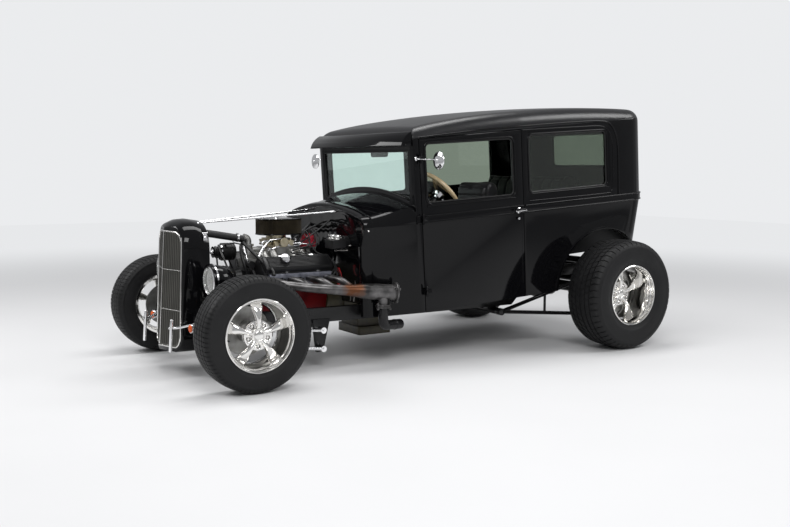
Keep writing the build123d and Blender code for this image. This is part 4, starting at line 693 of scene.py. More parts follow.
def wheel(name, x, z, lip, inner, face, side, body, replaced, disc_y, disc_r, disc_w):
    """Barrel, spokes, hub with stud wells, nuts and cap, and the brake disc or drum behind."""
    centre = (x, 0, z)
    hub = Shape()
    hub.lathe([(face - 60, 0.1), (face - 60, 80), (face - 52, 85), (face - 30, 86.5), (face - 25, 84),
               (face - 24, 78),
               (face - 23, 0.1)], centre, steps=96, closed=False)
    wells = Shape()
    for k in range(SPOKES):
        a = 2 * pi * (k + 0.5) / SPOKES
        p = (x + STUD_R * sin(a), 0, z + STUD_R * cos(a))
        wells.lathe([(face - 41, 0.01), (face - 41, 12.6), (face - 30, 13.4), (face - 10, 15.5),
                     (face - 10, 0.01)], p,
                    steps=28, closed=False)
    if side < 0:
        for shape in (hub, wells):
            shape.verts = [(a, -b, c) for a, b, c in shape.verts]
    hub_obj = hub.build(f"{name}_hub", polished, body)
    well_obj = wells.build(f"{name}_wells", polished, body)
    cut = hub_obj.modifiers.new("wells", "BOOLEAN")
    cut.operation = "DIFFERENCE"
    cut.solver = "EXACT"
    cut.object = well_obj
    evaluated = hub_obj.evaluated_get(bpy.context.evaluated_depsgraph_get())
    holed = bpy.data.meshes.new_from_object(evaluated)
    hub_obj.modifiers.clear()
    hub_obj.data = holed
    bpy.data.objects.remove(well_obj)

    metal = Shape()
    metal.lathe(rim_profile(lip, inner, face), centre, steps=128)
    for k in range(SPOKES):
        turn = 2 * pi * k / SPOKES
        loops = [spoke_loop(*section, face, turn, x, z) for section in SPOKE_SECTIONS]
        fine = []
        for a in range(len(loops[0])):
            fine.append(smooth_path([loop[a] for loop in loops], 4))
        metal.grid([[column[i] for column in fine] for i in range(len(fine[0]))], wrap=True, caps=True)
    metal.lathe([(face - 26, 46), (face - 13, 43.5), (face - 9, 41), (face - 8.5, 36), (face - 12, 34),
                 (face - 12, 30),
                 (face - 7, 27.5), (face - 4, 22), (face - 2.5, 12), (face - 2, 0.05)], centre, steps=64,
                 closed=False)
    for k in range(SPOKES):
        a = 2 * pi * (k + 0.5) / SPOKES
        p = Vector((x + STUD_R * sin(a), 0, z + STUD_R * cos(a)))
        out = Vector((0, 1, 0))
        metal.rod(p + out * (face - 42), p + out * (face - 28), 9.8, 9.4, sides=6)
        metal.rod(p + out * (face - 28), p + out * (face - 24), 8.6, 5.0, sides=16)
    stem = radians(266)
    base = Vector((x + 183 * sin(-stem), lip - 30, z + 183 * cos(stem)))
    metal.finish = 1
    metal.rod(base, base + Vector((0, 26, 0)) * 1.0, 3.6, 3.2, sides=12)
    metal.finish = 2
    metal.lathe([(disc_y, 30), (disc_y, disc_r), (disc_y + disc_w, disc_r), (disc_y + disc_w, 30)], centre,
                steps=72)
    metal.lathe([(disc_y, AXLE_BORE), (disc_y, 62), (face - 58, 62), (face - 58, AXLE_BORE)], centre,
                steps=48)
    if side < 0:
        metal.verts = [(a, -b, c) for a, b, c in metal.verts]
    piece = metal.build(f"{name}_metal", [polished, hose_rubber, cast], body, "polished_alloy", angle=38)
    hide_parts(replaced)


for side, way in (("left", 1), ("right", -1)):
    wheel(f"front_wheel_{side}", WHEELBASE, FRONT_TYRE["radius"], 842, 650, 832, way, f"wheel_front_{side}",
          f"rim_front_{side}", 640, 138, 12)
    wheel(f"rear_wheel_{side}", 0.0, REAR_TYRE["radius"], 976, 710, 873, way, f"wheel_rear_{side}",
          f"rim_rear_{side}", 712, 140, 90)


# Engine: the cylinder banks lean out at 45 degrees from the crank line
CRANK_Z = 408.0
DECK = 229.0
COVER_LOW = 321.0
COVER_TOP = 362.0
PORTS = (2395.0, 2275.0, 2150.0, 2030.0)


def bank_point(x, across, out, way=1):
    """A point of a bank: along the engine, across the bank (down is positive) and out along its cylinders."""
    return (x, way * (across + out) / sqrt(2), CRANK_Z + (out - across) / sqrt(2))


def valve_cover(shape, way):
    """A finned cover with a base flange, hold-down tabs and a filler cap."""
    section = [(-64, COVER_LOW), (-64, COVER_LOW + 6), (-58, COVER_LOW + 7), (-53, COVER_TOP - 18),
               (-47, COVER_TOP - 7),
               (-38, COVER_TOP - 2), (-28, COVER_TOP), (34, COVER_TOP), (44, COVER_TOP - 2),
               (51, COVER_TOP - 7),
               (56, COVER_TOP - 16), (60, COVER_LOW + 7), (66, COVER_LOW + 6), (66, COVER_LOW)]
    ends = [(0, 9), (1.5, 4), (6, 1), (14, 0)]
    stations = [(1965 + d, cut) for d, cut in ends] + [(2430 - d, cut) for d, cut in reversed(ends)]
    rows = []
    for x, cut in stations:
        row = []
        for u, w in section:
            share = (w - COVER_LOW) / (COVER_TOP - COVER_LOW)
            row.append(bank_point(x, u * (1 - cut * share / 60), w - cut * share, way))
        rows.append(row)
    shape.grid(rows, wrap=True, caps=True)
    for i in range(9):
        u = (i - 4) * 10 + 3
        rail = [(x, high) for x, high in ((1985, -1), (1992, 4), (2403, 4), (2410, -1))]
        fin = [[bank_point(x, u + d, COVER_TOP + high * up, way) for d,
                up in ((-3.2, 0), (-1.6, 1), (1.6, 1), (3.2, 0))]
               for x, high in rail]
        shape.grid(fin, wrap=True, caps=True)


covers = Shape()
for way in (1, -1):
    valve_cover(covers, way)
covers_obj = covers.build("finned_covers", crackle, slot="crackle_black", angle=30)
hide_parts("valve_covers")

bright = Shape()
for way in (1, -1):
    for x in (2287, 2074):
        for u in (61, -61):
            foot = Vector(bank_point(x, u, COVER_LOW + 10, way))
            out = Vector(bank_point(0, 0, 1, way)) - Vector(bank_point(0, 0, 0, way))
            away = Vector(bank_point(0, 1, 0, way)) - Vector(bank_point(0, 0, 0, way))
            away *= 1 if u > 0 else -1
            bright.bolt(foot - out * 4 + away * 2, out, 6.5, 7)
            bright.slab([foot + Vector((d, 0, 0)) + away * e for d,
                         e in ((-16, 1), (16, 1), (12, 7), (-12, 7))], out * 3)
    cap = Vector(bank_point(2287 if way > 0 else 2110, -8, COVER_TOP, way))
    bright.lathe([(0, 0.1), (0, 20), (9, 20), (11, 31), (24, 33), (30, 30), (33, 20), (34, 0.1)], cap, out,
                 32, closed=False)
# the long tube from the cover's front corner to the carburettor, and its vacuum pod
bright.tube(smooth_path([(2418, 150, 688), (2388, 128, 722), (2330, 96, 768), (2300, 84, 776)], 6), 6.5, 10)
bright.tube(smooth_path([(2300, 84, 776), (2290, 60, 782), (2272, 40, 778)], 5), 4, 8)
bright.build("cover_fittings", chrome, slot="chrome", angle=40)

# Block, heads and pan keep their solid; heads, ends and pan are dark and the crankcase is red, its red
# darkened as painted shade


def block_finish(at, normal):
    x, y, z = at
    out = (abs(y) + z - CRANK_Z) / sqrt(2)
    if out > DECK - 1 or abs(normal.x) > 0.7 or z > CRANK_Z + 150:
        return 1
    return 1 if z < CRANK_Z - 84 else 0


small = Shape()
for way in (1, -1):
    for x in (2410, 2335, 2213, 2090, 1985):
        for u in (58, 20):
            small.bolt(bank_point(x, u + (10 if u > 30 else 0), COVER_LOW - 2 if u > 30 else DECK + 40, way),
                       Vector(bank_point(0, 1, 0, way)) - Vector(bank_point(0, 0, 0, way)), 7, 5)
    for x in (2380, 2260, 2165, 2045):
        # freeze plugs along the crankcase
        small.lathe([(0, 0.1), (-3, 18), (1.5, 20), (1.5, 23), (-2, 23)], (x, way * 140, 545),
                    (0, way, 0.1), 24, closed=False)
# timing cover with its bolts
small.slab([(2450, y, z) for y, z in ((-92, 330), (92, 330), (112, 430), (104, 560), (-104, 560),
                                      (-112, 430))], (14, 0, 0))
for y, z in ((-84, 340), (84, 340), (102, 430), (-102, 430), (94, 540), (-94, 540), (0, 332)):
    small.bolt((2464, y, z), (1, 0, 0), 6, 5)
# pan rails with bolts on both sides
for way in (1, -1):
    small.block(1966, 2432, way * 118, way * 148, 318, 325)
    for i in range(9):
        small.bolt((1990 + i * 52, way * 138, 318), (0, 0, -1), 5.5, 4)
# starter motor low on the right side
small.rod((2030, -168, 322), (1880, -168, 322), 44)
small.rod((2042, -168, 322), (2030, -168, 322), 30)
small.rod((2020, -190, 372), (1925, -190, 372), 22)
small.build("engine_hardware", satin_black, slot="crackle_black", bevel=0.8)

# Intake: runners, plenum and the water neck
cast_part = Shape()
cast_part.block(2050, 2380, -96, 96, 660, 700)
cast_part.block(2130, 2322, -84, 84, 700, 735)
for x in (2355, 2290, 2165, 2100):
    for way in (1, -1):
        cast_part.tube(smooth_path([(x * 0.6 + 2225 * 0.4, way * 40, 712), (x, way * 90, 700),
                                    (x, way * 128, 664),
                                    (x, way * 150, 636)], 5), [26, 26, 26, 27] + [27] * 12, 14)
cast_part.rod((2422, 0, 690), (2422, 0, 745), 34, 30)
cast_part.rod((2422, 0, 745), (2422, 0, 758), 38)
cast_part.tube(smooth_path([(2422, 0, 758), (2423, 0, 780), (2432, 0, 794), (2452, 0, 802)], 5), 24, 18)
for way in (1, -1):
    cast_part.bolt((2422, way * 36, 746), (0, 0, 1), 7, 6)
cast_part.block(1985, 2440, -104, 104, 613, 662)
cast_part_obj = cast_part.build("intake_manifold", cast, slot="cast_alloy", bevel=3.0)
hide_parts("intake")

# Carburettor: four-barrel body, bowls, choke, linkage and fuel rail
carb = Shape()
carb.block(2165, 2285, -76, 76, 735, 748)
carb.block(2180, 2270, -62, 62, 748, 776)
carb.block(2150, 2300, -56, 56, 776, 792)
for x0, x1 in ((2276, 2318), (2132, 2174)):
    carb.block(x0, x1, -48, 48, 748, 784)
    for y in (-40, 40):
        for z in (754, 778):
            carb.bolt((x1 if x0 > 2200 else x0, y, z), (1 if x0 > 2200 else -1, 0, 0), 4.5, 4)
carb.rod((2225, 0, 790), (2225, 0, 812), 64)
carb.rod((2218, 62, 768), (2218, 104, 768), 27, 24)
carb.rod((2218, 104, 768), (2218, 110, 768), 29)
carb.rod((2262, 62, 758), (2262, 88, 758), 16)
carb.rod((2160, 60, 762), (2160, 92, 762), 20, 18)
carb.build("carburettor", brass_zinc, slot="cast_alloy", bevel=1.5)

linkage = Shape()
linkage.slab([(2235, 80, 742), (2262, 80, 730), (2268, 80, 744), (2240, 80, 762)], (0, 4, 0))
linkage.slab([(2175, 86, 736), (2150, 86, 760), (2158, 86, 766), (2185, 86, 746)], (0, 4, 0))
linkage.rod((2250, 84, 744), (2092, 88, 760), 3.2, sides=10)
linkage.rod((2158, 88, 762), (2058, 104, 752), 3.0, sides=10)
linkage.tube(smooth_path([(2240, 66, 756), (2196, 92, 742), (2130, 100, 744), (2082, 96, 752)], 6), 3, 8)
linkage.tube(smooth_path([(2318, 34, 766), (2352, 60, 768), (2366, 110, 748), (2400, 138, 700),
                          (2430, 130, 640)], 6), 5, 10)
linkage.tube(smooth_path([(2140, 40, 766), (2118, 66, 778), (2240, 92, 790), (2330, 62, 776),
                          (2340, 34, 768)], 8), 4.4, 10)
for at, axis in (((2352, 60, 768), (0, 1, 0)), ((2330, 62, 776), (1, 0, 0)), ((2118, 66, 778), (0, 0, 1))):
    linkage.rod(Vector(at) - Vector(axis) * 8, Vector(at) + Vector(axis) * 8, 8, sides=6)
# coiled return springs
for start, end in (((2092, 92, 756), (2040, 96, 745)), ((2262, 88, 738), (2330, 96, 722))):
    a, b = Vector(start), Vector(end)
    side = (b - a).cross(Vector((0, 0, 1))).normalized()
    lift = side.cross((b - a).normalized())
    turns = [a + (b - a) * k / 96 + (side * cos(k * pi / 4) + lift * sin(k * pi / 4)) * 5 for k in range(97)]
    linkage.tube(turns, 1.1, 5)
linkage.build("carburettor_linkage", chrome, slot="chrome", angle=40)

# Air cleaner: a pleated element between two thin covers
FILTER_X = 2206.0
pleats = Shape()
corner, half_x, half_y = 78, 144, 98
outline = []
for cx, cy, start in ((1, 1, 0), (-1, 1, 90), (-1, -1, 180), (1, -1, 270)):
    for k in range(7):
        a = radians(start + k * 15)
        outline.append(Vector((cx * (half_x - corner) + corner * cos(a),
                               cy * (half_y - corner) + corner * sin(a), 0)))
total = sum((outline[i] - outline[i - 1]).length for i in range(len(outline)))
folds = 230
ring = []
for k in range(2 * folds):
    want = total * k / (2 * folds)
    i = 0
    while want > (outline[(i + 1) % len(outline)] - outline[i]).length:
        want -= (outline[(i + 1) % len(outline)] - outline[i]).length
        i += 1
    a, b = outline[i], outline[(i + 1) % len(outline)]
    run = (b - a).normalized()
    ring.append(a + run * want + Vector((run.y, -run.x, 0)) * (0 if k % 2 else -5.5))
pleats.grid([[(FILTER_X + p.x, p.y, z) for p in ring] for z in (820, 909)], wrap=True, caps=True)
pleats_obj = pleats.build("filter_element", paper, slot="filter_cover", angle=20)
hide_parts("air_cleaner")
lids = Shape()
for z0, z1, z2 in ((909, 914, 915), (820, 813, 812)):
    rows = []
    for grow, z in ((-4, z0), (1, z0), (3, z0 * 0.5 + z1 * 0.5), (2, z1), (-1, z2), (-30, z2),
                    (-31, z2 - 1.5), (-36, z2 - 1.5), (-37, z2)):
        rows.append([(FILTER_X + p.x * (1 + grow / half_x), p.y * (1 + grow / half_y), z) for p in outline])
    lids.grid(rows, wrap=True, caps=True)
lids.build("filter_covers", black_gloss, slot="black_paint", angle=50)
nut = Shape()
nut.lathe([(0, 0.1), (0, 14), (4, 13), (5, 7), (13, 6.5), (14, 0.1)], (2225, 0, 914), (0, 0, 1), 24,
          closed=False)
nut.slab([(2205, -2, 920), (2245, -2, 920), (2248, -2, 930), (2234, -2, 926), (2216, -2, 926),
          (2202, -2, 930)], (0, 4, 0))
nut.build("filter_nut", chrome, slot="chrome", bevel=0.5)

# Distributor with its cap towers, and the plug leads
cap = Shape()
cap.lathe([(0, 0.1), (0, 34), (12, 34), (16, 27), (88, 27), (92, 30), (104, 30), (106, 0.1)],
          (1995, 0, 613), (0, 0, 1), 32,
          closed=False)
cap_body = cap.build("distributor_body", cast, slot="cast_alloy")
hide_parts("distributor")
top = Shape()
top.lathe([(0, 0.1), (0, 57), (10, 58), (14, 55), (36, 52), (58, 50), (66, 46), (70, 40), (70, 0.1)],
          (1995, 0, 727), (0, 0, 1),
          40, closed=False)
towers = [(1995 + 38 * cos(k * pi / 4), 38 * sin(k * pi / 4), 795) for k in range(8)]
for x, y, z in towers:
    top.rod((x, y, z - 6), (x, y, z + 14), 8, 6.5, sides=14)
top.build("distributor_cap", red_cap, slot="cap_brown", angle=35)
leads = Shape()
for k, (x, y, z) in enumerate(towers):
    way = 1 if y > 0 or (abs(y) < 1 and x > 1995) else -1
    port = sorted(PORTS)[k % 4]
    plug = Vector(bank_point(port - 32, 78, DECK + 22, way))
    path = [(x, y, z + 10), (x * 0.4 + 1995 * 0.6 + (x - 1995) * 0.9, y * 1.35, z + 34 + 3 * (k % 3)),
            (x + 6, way * (86 + 6 * (k % 4)), 776 - 6 * (k % 4)),
            (min(port, 2010 + 60 * (k % 4)), way * (128 + 4 * (k % 4)), 706),
            (port - 40, way * (150 + 5 * (k % 4)), 690)]
    path += [bank_point(port - 36, -70, COVER_TOP + 6, way)]
    if k % 2:
        path = path[:4] + [(1952, way * (190 + 8 * (k % 4)), 660), (1950, way * 285, 600),
                           (1965 + 8 * k, way * 318, 548),
                           tuple(plug + Vector((-6, way * 22, -12))), tuple(plug)]
    else:
        path = path[:4] + [(1956, way * 170, 672), (1946, way * 270, 622), (1975 + 6 * k, way * 306, 566),
                           tuple(plug + Vector((-6, way * 24, -14))), tuple(plug)]
    leads.tube(smooth_path(path, 7), 4.2, 9)
    leads.rod(plug + Vector((0, way * 20, -12)), plug, 8, 7, sides=12)
leads.build("plug_leads", hose_rubber, slot="radiator_black", angle=50)

# Front drive: water pump, pulleys, belts, alternator with its brackets, and the hoses
dark = Shape()
dark.rod((2464, 0, 558), (2520, 0, 558), 62, 42)
dark.block(2456, 2484, -108, 108, 500, 600)
for x0, x1, y, z, r in ((2560, 2604, 0, 408, 84), (2562, 2604, 0, 558, 72), (2566, 2604, -112, 706, 38)):
    dark.lathe([(0, 12), (0, r), (3, r), (9, r - 9), (17, r - 9), (22, r), (27, r), (33, r - 9),
                (40, r - 9), (44, r - 1), (44, r - 4),
                (30, r - 14), (30, 12)], (x0, y, z), (1, 0, 0), 56)
dark.rod((2464, 0, 408), (2562, 0, 408), 46)
dark.rod((2518, 0, 558), (2600, 0, 558), 20)
dark.lathe([(0, 20), (0, 50), (6, 56), (26, 56), (28, 53), (34, 53), (36, 56), (84, 56), (92, 48),
            (94, 20)], (2470, -112, 706),
           (1, 0, 0), 48)
for k in range(16):
    a = 2 * pi * k / 16
    dark.rod((2561, -112 + 40 * cos(a), 706 + 40 * sin(a)), (2567, -112 + 40 * cos(a), 706 + 40 * sin(a)),
             5, sides=8)
dark.tube(bent_path([(2474, -60, 660), (2474, -40, 600), (2472, 20, 560)], 30), 9, 10, flat=0.6)
dark.tube(bent_path([(2540, -80, 756), (2500, -20, 766), (2446, 30, 752)], 30), 8, 10, flat=0.5)
dark.tube(bent_path([(2500, -118, 652), (2480, -110, 600), (2462, -90, 560)], 20), 10, 10, flat=0.6)
# mechanical fuel pump and a bracket with a coil, low at the front left
dark.rod((2440, 130, 430), (2440, 210, 436), 34)
dark.rod((2440, 210, 436), (2440, 226, 436), 44, 40)
dark.rod((2462, 66, 640), (2462, 150, 640), 24)
dark_obj = dark.build("front_drive_dark", satin_black, slot="crackle_black", bevel=1.0, angle=36)
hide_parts("front_drive")

hub = Shape()
hub.lathe([(0, 0.1), (0, 22), (8, 22), (10, 12), (22, 11), (24, 0.1)], (2604, -112, 706), (1, 0, 0), 28,
          closed=False)
hub.lathe([(0, 24), (0, 52), (4, 54), (6, 50), (6, 24)], (2552, -112, 706), (1, 0, 0), 40)
for k in range(10):
    a = 2 * pi * k / 10
    hub.slab([(2558, -112 + 30 * cos(a), 706 + 30 * sin(a)), (2558, -112 + 50 * cos(a + 0.1),
                                                              706 + 50 * sin(a + 0.1)),
              (2558, -112 + 50 * cos(a + 0.35), 706 + 50 * sin(a + 0.35)),
              (2558, -112 + 30 * cos(a + 0.3), 706 + 30 * sin(a + 0.3))],
             (9, 0, 0))
for y, z in ((0, 408), (0, 558)):
    hub.lathe([(0, 0.1), (0, 24), (5, 22), (7, 10), (12, 9), (13, 0.1)], (2590, y, z), (1, 0, 0), 28,
              closed=False)
hub.rod((2474, -86, 760), (2474, -112, 772), 5, sides=10)
hub.tube(bent_path([(2470, 40, 752), (2476, 90, 700), (2470, 120, 640)], 26), 6, 10)
hub.build("drive_bright", chrome, slot="chrome", angle=36)

belts = Shape()


def belt(shape, x, wheels):
    """A belt round pulleys (y, z, r), drawn as the outer hull of their rims."""
    rim = []
    for y, z, r in wheels:
        rim += [Vector((y + r * cos(pi * k / 24), z + r * sin(pi * k / 24))) for k in range(48)]
    rim.sort(key=lambda p: (p.x, p.y))
    hull = []
    for run in (rim, rim[::-1]):
        chain = []
        for p in run:
            while len(chain) > 1 and (chain[-1] - chain[-2]).cross(p - chain[-1]) <= 0:
                chain.pop()
            chain.append(p)
        hull += chain[:-1]
    rows = []
    for dx, grow in ((-4.5, -5), (-6, 1.5), (6, 1.5), (4.5, -5)):
        mid = sum((p for p in hull), Vector((0, 0))) / len(hull)
        rows.append([(x + dx, *(p + (p - mid).normalized() * grow)) for p in hull])
    shape.grid(rows, wrap=True, loop=True)


belt(belts, 2573, [(0, 408, 78), (0, 558, 66), (-112, 706, 33)])
belt(belts, 2591, [(0, 408, 78), (0, 558, 66)])
belts.tube(smooth_path([(2462, 22, 770), (2478, 92, 764), (2462, 172, 716), (2432, 226, 668),
                        (2404, 262, 640),
                        (2392, 300, 612), (2394, 322, 588)], 7), 9.5, 14)
belts.tube(smooth_path([(2456, -10, 760), (2486, 40, 742), (2496, 78, 690), (2486, 100, 628),
                        (2470, 96, 580)], 7), 11, 14)
belts.tube(smooth_path([(2520, 46, 540), (2600, 80, 470), (2700, 110, 390), (2770, 120, 320)], 8), 20, 16)
belts.tube(smooth_path([(2120, -60, 700), (2040, -120, 760), (1960, -170, 800), (1880, -190, 860),
                        (1834, -200, 900)], 7), 10, 12)
belts.tube(smooth_path([(2060, -110, 690), (1990, -180, 752), (1900, -240, 800), (1834, -250, 850)], 7), 10,
           12)
belts.tube(smooth_path([(2090, 60, 752), (2030, 90, 800), (1950, 96, 850), (1880, 90, 900),
                        (1834, 84, 930)], 7), 5, 10)
belts.tube(smooth_path([(2100, 40, 745), (2040, 30, 822), (1950, 10, 858), (1880, -10, 880),
                        (1834, -20, 900)], 7), 6, 10)
belts.tube(smooth_path([(1940, 236, 640), (1900, 262, 560), (1890, 270, 480), (1920, 240, 430)], 7), 4, 8)
belts.build("belts_and_hoses", hose_rubber, slot="radiator_black", angle=50)
red_leads = Shape()
for j in range(3):
    red_leads.tube(smooth_path([(1902 - 6 * j, 212 + 6 * j, 600), (1886, 236 + 9 * j, 548 - 6 * j),
                                (1908 + 8 * j, 262 + 4 * j, 500),
                                (1878, 282, 470 - 12 * j), (1846, 250 + 10 * j, 440)], 6), 2.8, 7)
red_leads.build("red_leads", red_wire, slot="engine_red", angle=50)

# Headers: a flange strip, four swept pipes running into one cone, and the end plate
steel_part = Shape()
blue_part = Shape()
CONE = [(2432, 366, 550, 22), (2340, 412, 534, 25), (2240, 468, 520, 28), (2141, 516, 509, 30),
        (2044, 541, 500, 32),
        (1965, 557, 493, 39), (1889, 573, 485, 49), (1790, 592, 476, 50), (1712, 608, 469, 50)]
for way in (1, -1):
    side_of = [(x, way * y, z, r) for x, y, z, r in CONE]
    path = smooth_path([p[:3] for p in side_of], 5)
    radii = [v.x for v in smooth_path([(p[3], 0, 0) for p in side_of], 5)]
    steel_part.tube(path, radii, 28)
    for port_x, join_x, join_y, join_z in ((2395, 2330, 416, 534), (2275, 2206, 486, 517),
                                           (2150, 2052, 536, 503), (2030, 1932, 560, 492)):
        pipe = smooth_path([(port_x, way * 286, 552), (port_x - 4, way * 322, 554),
                            (port_x - 26, way * (join_y * 0.5 + 178), 546),
                            (join_x + 26, way * (join_y - 14), join_z + 4),
                            (join_x - 40, way * (join_y + 6), join_z - 4)], 6)
        steel_part.tube(pipe, 21, 20)
        blue_part.slab([(port_x + dx, way * 292, 552 + dz) for dx, dz in
                        ((-46, -14), (-30, -30), (30, -30), (46, -14), (46, 14), (30, 30), (-30, 30),
                         (-46, 14))], (0, way * 9, 0))
        for dx in (-38, 38):
            steel_part.bolt((port_x + dx, way * 301, 552), (0, way, 0), 7, 6)
    blue_part.block(1992, 2418, way * 284, way * 309, 566, 592)
    end, back = Vector((1712, way * 608, 469)), (Vector((1703, way * 612, 468)) - Vector((1790, way * 592,
                                                                                          476))).normalized()
    steel_part.lathe([(-3, 0.1), (-3, 62), (0, 66), (9, 66), (11, 63), (11, 0.1)], end, back, 48,
                     closed=False)
    for k in range(3):
        a = 2 * pi * k / 3 + 0.5
        lift = Vector((0, 0, 1))
        across = back.cross(lift).normalized()
        at = end + (across * cos(a) + lift * sin(a)) * 56
        steel_part.bolt(at + back * 11, back, 9, 8)
        steel_part.bolt(at - back * 3, -back, 9, 8)
    # outlet with its three-bolt flange
    steel_part.tube(smooth_path([(1798, way * 594, 478), (1792, way * 598, 440), (1790, way * 600, 400)],
                                6), 33, 24)
    for z0, z1 in ((392, 401), (380, 389)):
        steel_part.lathe([(z0, 0.1), (z0, 47), (z1, 47), (z1, 0.1)], (1790, way * 600, 0), (0, 0, 1), 40,
                         closed=False)
    for k in range(3):
        a = 2 * pi * k / 3 + 0.2
        at = Vector((1790 + 44 * cos(a), way * 600 + 44 * sin(a), 401))
        steel_part.rod(at - Vector((0, 0, 32)), at + Vector((0, 0, 14)), 4.5, sides=10)
        steel_part.bolt(at, (0, 0, 1), 9, 8)
        steel_part.bolt(at - Vector((0, 0, 22)), (0, 0, -1), 9, 8)
steel_obj = steel_part.build("headers_steel", header_steel, slot="header_coat", angle=36)
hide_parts("headers")
blue_part.build("header_flanges", heat_blue, slot="header_coat", bevel=1.2)
pipes = Shape()
for way in (1, -1):
    pipes.tube(bent_path([(1790, way * 600, 392), (1790, way * 597, 330), (1762, way * 562, 262),
                          (1600, way * 500, 250)], 62, 8), 31, 24)
    axis = Vector((-160, way * -60, -12)).normalized()
    tip = Vector((1600, way * 500, 250))
    pipes.lathe([(-70, 29.5), (-66, 33.5), (-58, 33.5), (-56, 31.5), (-4, 31.5), (0, 31), (1, 29), (0, 27),
                 (-60, 26)], tip, axis, 32)
pipes.build("exhaust_pipes", frame_black, slot="header_coat", angle=36)


# Body trim, drawn on the level body: beads, drip moulding, window rings and small fasteners
BELT_Z = 1005.0
POST_X = 1480.0
DOOR_REAR_X = 649.0
TAIL_X = -535.0
# the quarter window's opening: rear and front x, low and high z
QUARTER_WINDOW = (-120, 592, 1118, 1502)
CORNER_R = 160.0
ROOF_R = 88.0
# the roof's side edge before it is rounded: x and height
ROOF_EDGE = ((1500, 1571), (1024, 1636), (410, 1660), (-100, 1650), (-555, 1618))


def roof_edge(x):
    for (x0, z0), (x1, z1) in zip(ROOF_EDGE, ROOF_EDGE[1:]):
        if x >= x1:
            return z0 + (z1 - z0) * (x0 - x) / (x0 - x1)
    return ROOF_EDGE[-1][1]


def half_width(x, z):
    """Half-width of the level body at x and z, with its tail corner and the rounding of the roof."""
    low = max(0.0, (BELT_Z - z) / (BELT_Z - 425.0))
    post, b, side = (half - 12.0 * low for half in (600.0, 655.0, 660.0))
    tail = TAIL_X + 135.0 * low
    if x > DOOR_REAR_X:
        y = post + (b - post) * (POST_X - x) / (POST_X - DOOR_REAR_X)
    else:
        y = b + (side - b) * (DOOR_REAR_X - x) / (DOOR_REAR_X - tail - CORNER_R)
    if x < tail + CORNER_R:
        reach = min(tail + CORNER_R - x, CORNER_R)
        y = side - CORNER_R + sqrt(CORNER_R**2 - reach**2)
    up = z - (roof_edge(x) - ROOF_R)
    if up > 0:
        y += sqrt(max(ROOF_R**2 - up**2, 0)) - ROOF_R
    return y


def on_side(points, out=0.0):
    """Level (x, z) points laid on the left side of the body and raked with it."""
    return [level(x, half_width(x, z) + out, z) for x, z in points]


def arc_run(points, steps=10):
    return [(v.x, v.y) for v in smooth_path([(x, z, 0) for x, z in points], steps)]


def ring_points(x0, x1, z0, z1, corner, steps=8):
    """A rounded rectangle of level (x, z) points."""
    out = []
    for cx, cz, start in ((x1 - corner, z1 - corner, 0), (x0 + corner, z1 - corner, 90),
                          (x0 + corner, z0 + corner, 180), (x1 - corner, z0 + corner, 270)):
        for k in range(steps + 1):
            a = radians(start + 90 * k / steps)
            out.append((cx + corner * cos(a), cz + corner * sin(a)))
    return out


def tail_line(z, out, steps=12):
    """The body's outline seen from above from the left side round the tail to the right side."""
    tail = TAIL_X - out
    r = CORNER_R + out
    left = [(tail + r - r * sin(radians(90 * k / steps)),
             660 - CORNER_R + r * cos(radians(90 * k / steps))) for k in range(steps + 1)]
    return [level(x, y, z) for x, y in left] + [level(x, -y, z) for x, y in reversed(left)]


DRIP = [(1440, 1525), (1024, 1549), (630, 1563), (200, 1571), (-80, 1567), (-172, 1534), (-221, 1450),
        (-232, 1330), (-231, 1180),
        (-229, 1046)]
INNER = [(-60, 1534), (-136, 1506), (-176, 1436), (-182, 1300), (-176, 1160), (-160, 1072), (-110, 1062),
         (20, 1061), (300, 1063),
         (600, 1066)]
gloss_trim = Shape()
gloss_trim.tube(on_side(arc_run(DRIP), 0.5), 6.5, 12)
gloss_trim.tube(on_side(arc_run([(644, 1537), (400, 1538), (120, 1537)] + INNER), -1), 4.5, 10)
for z, r in ((1039, 5.5), (995, 5.0)):
    side_run = on_side([(x, z) for x in (640, 400, 100, -150, -370)], 6)
    gloss_trim.tube(side_run + [Vector(p) for p in tail_line(z, 6)][1:-1] + [(x, -y, zz) for x, y,
                                                                             zz in reversed(side_run)], r, 10)
    gloss_trim.tube(on_side([(x, z) for x in (1478, 1446)], 5), r, 10)
x0, x1, z0, z1 = QUARTER_WINDOW
gloss_trim.tube(on_side(ring_points(x0 - 7, x1 + 7, z0 - 7, z1 + 7, 41), -1), 5.0, 10, closed=True)
gloss_trim.mirror()
ring = [level(TAIL_X - 1.5, y, z) for y, z in ring_points(-344, 344, 1221, 1479, 44)]
gloss_trim.tube(ring, 6, 10, closed=True, up=(1, 0, 0))
# tail: two upright beads and the roof seam above the window
gloss_trim.tube([level(TAIL_X - 3, y, 1560) for y in (-500, -250, 0, 250, 500)], 3.5, 10)
for way in (1, -1):
    gloss_trim.tube([level(TAIL_X - 1 + 135 * max(0, (1005 - z) / 580), way * 470,
                           z) for z in (985, 880, 760, 640, 520)], 3, 8)
gloss_trim.build("body_beads", black_gloss, slot="black_paint", angle=60)

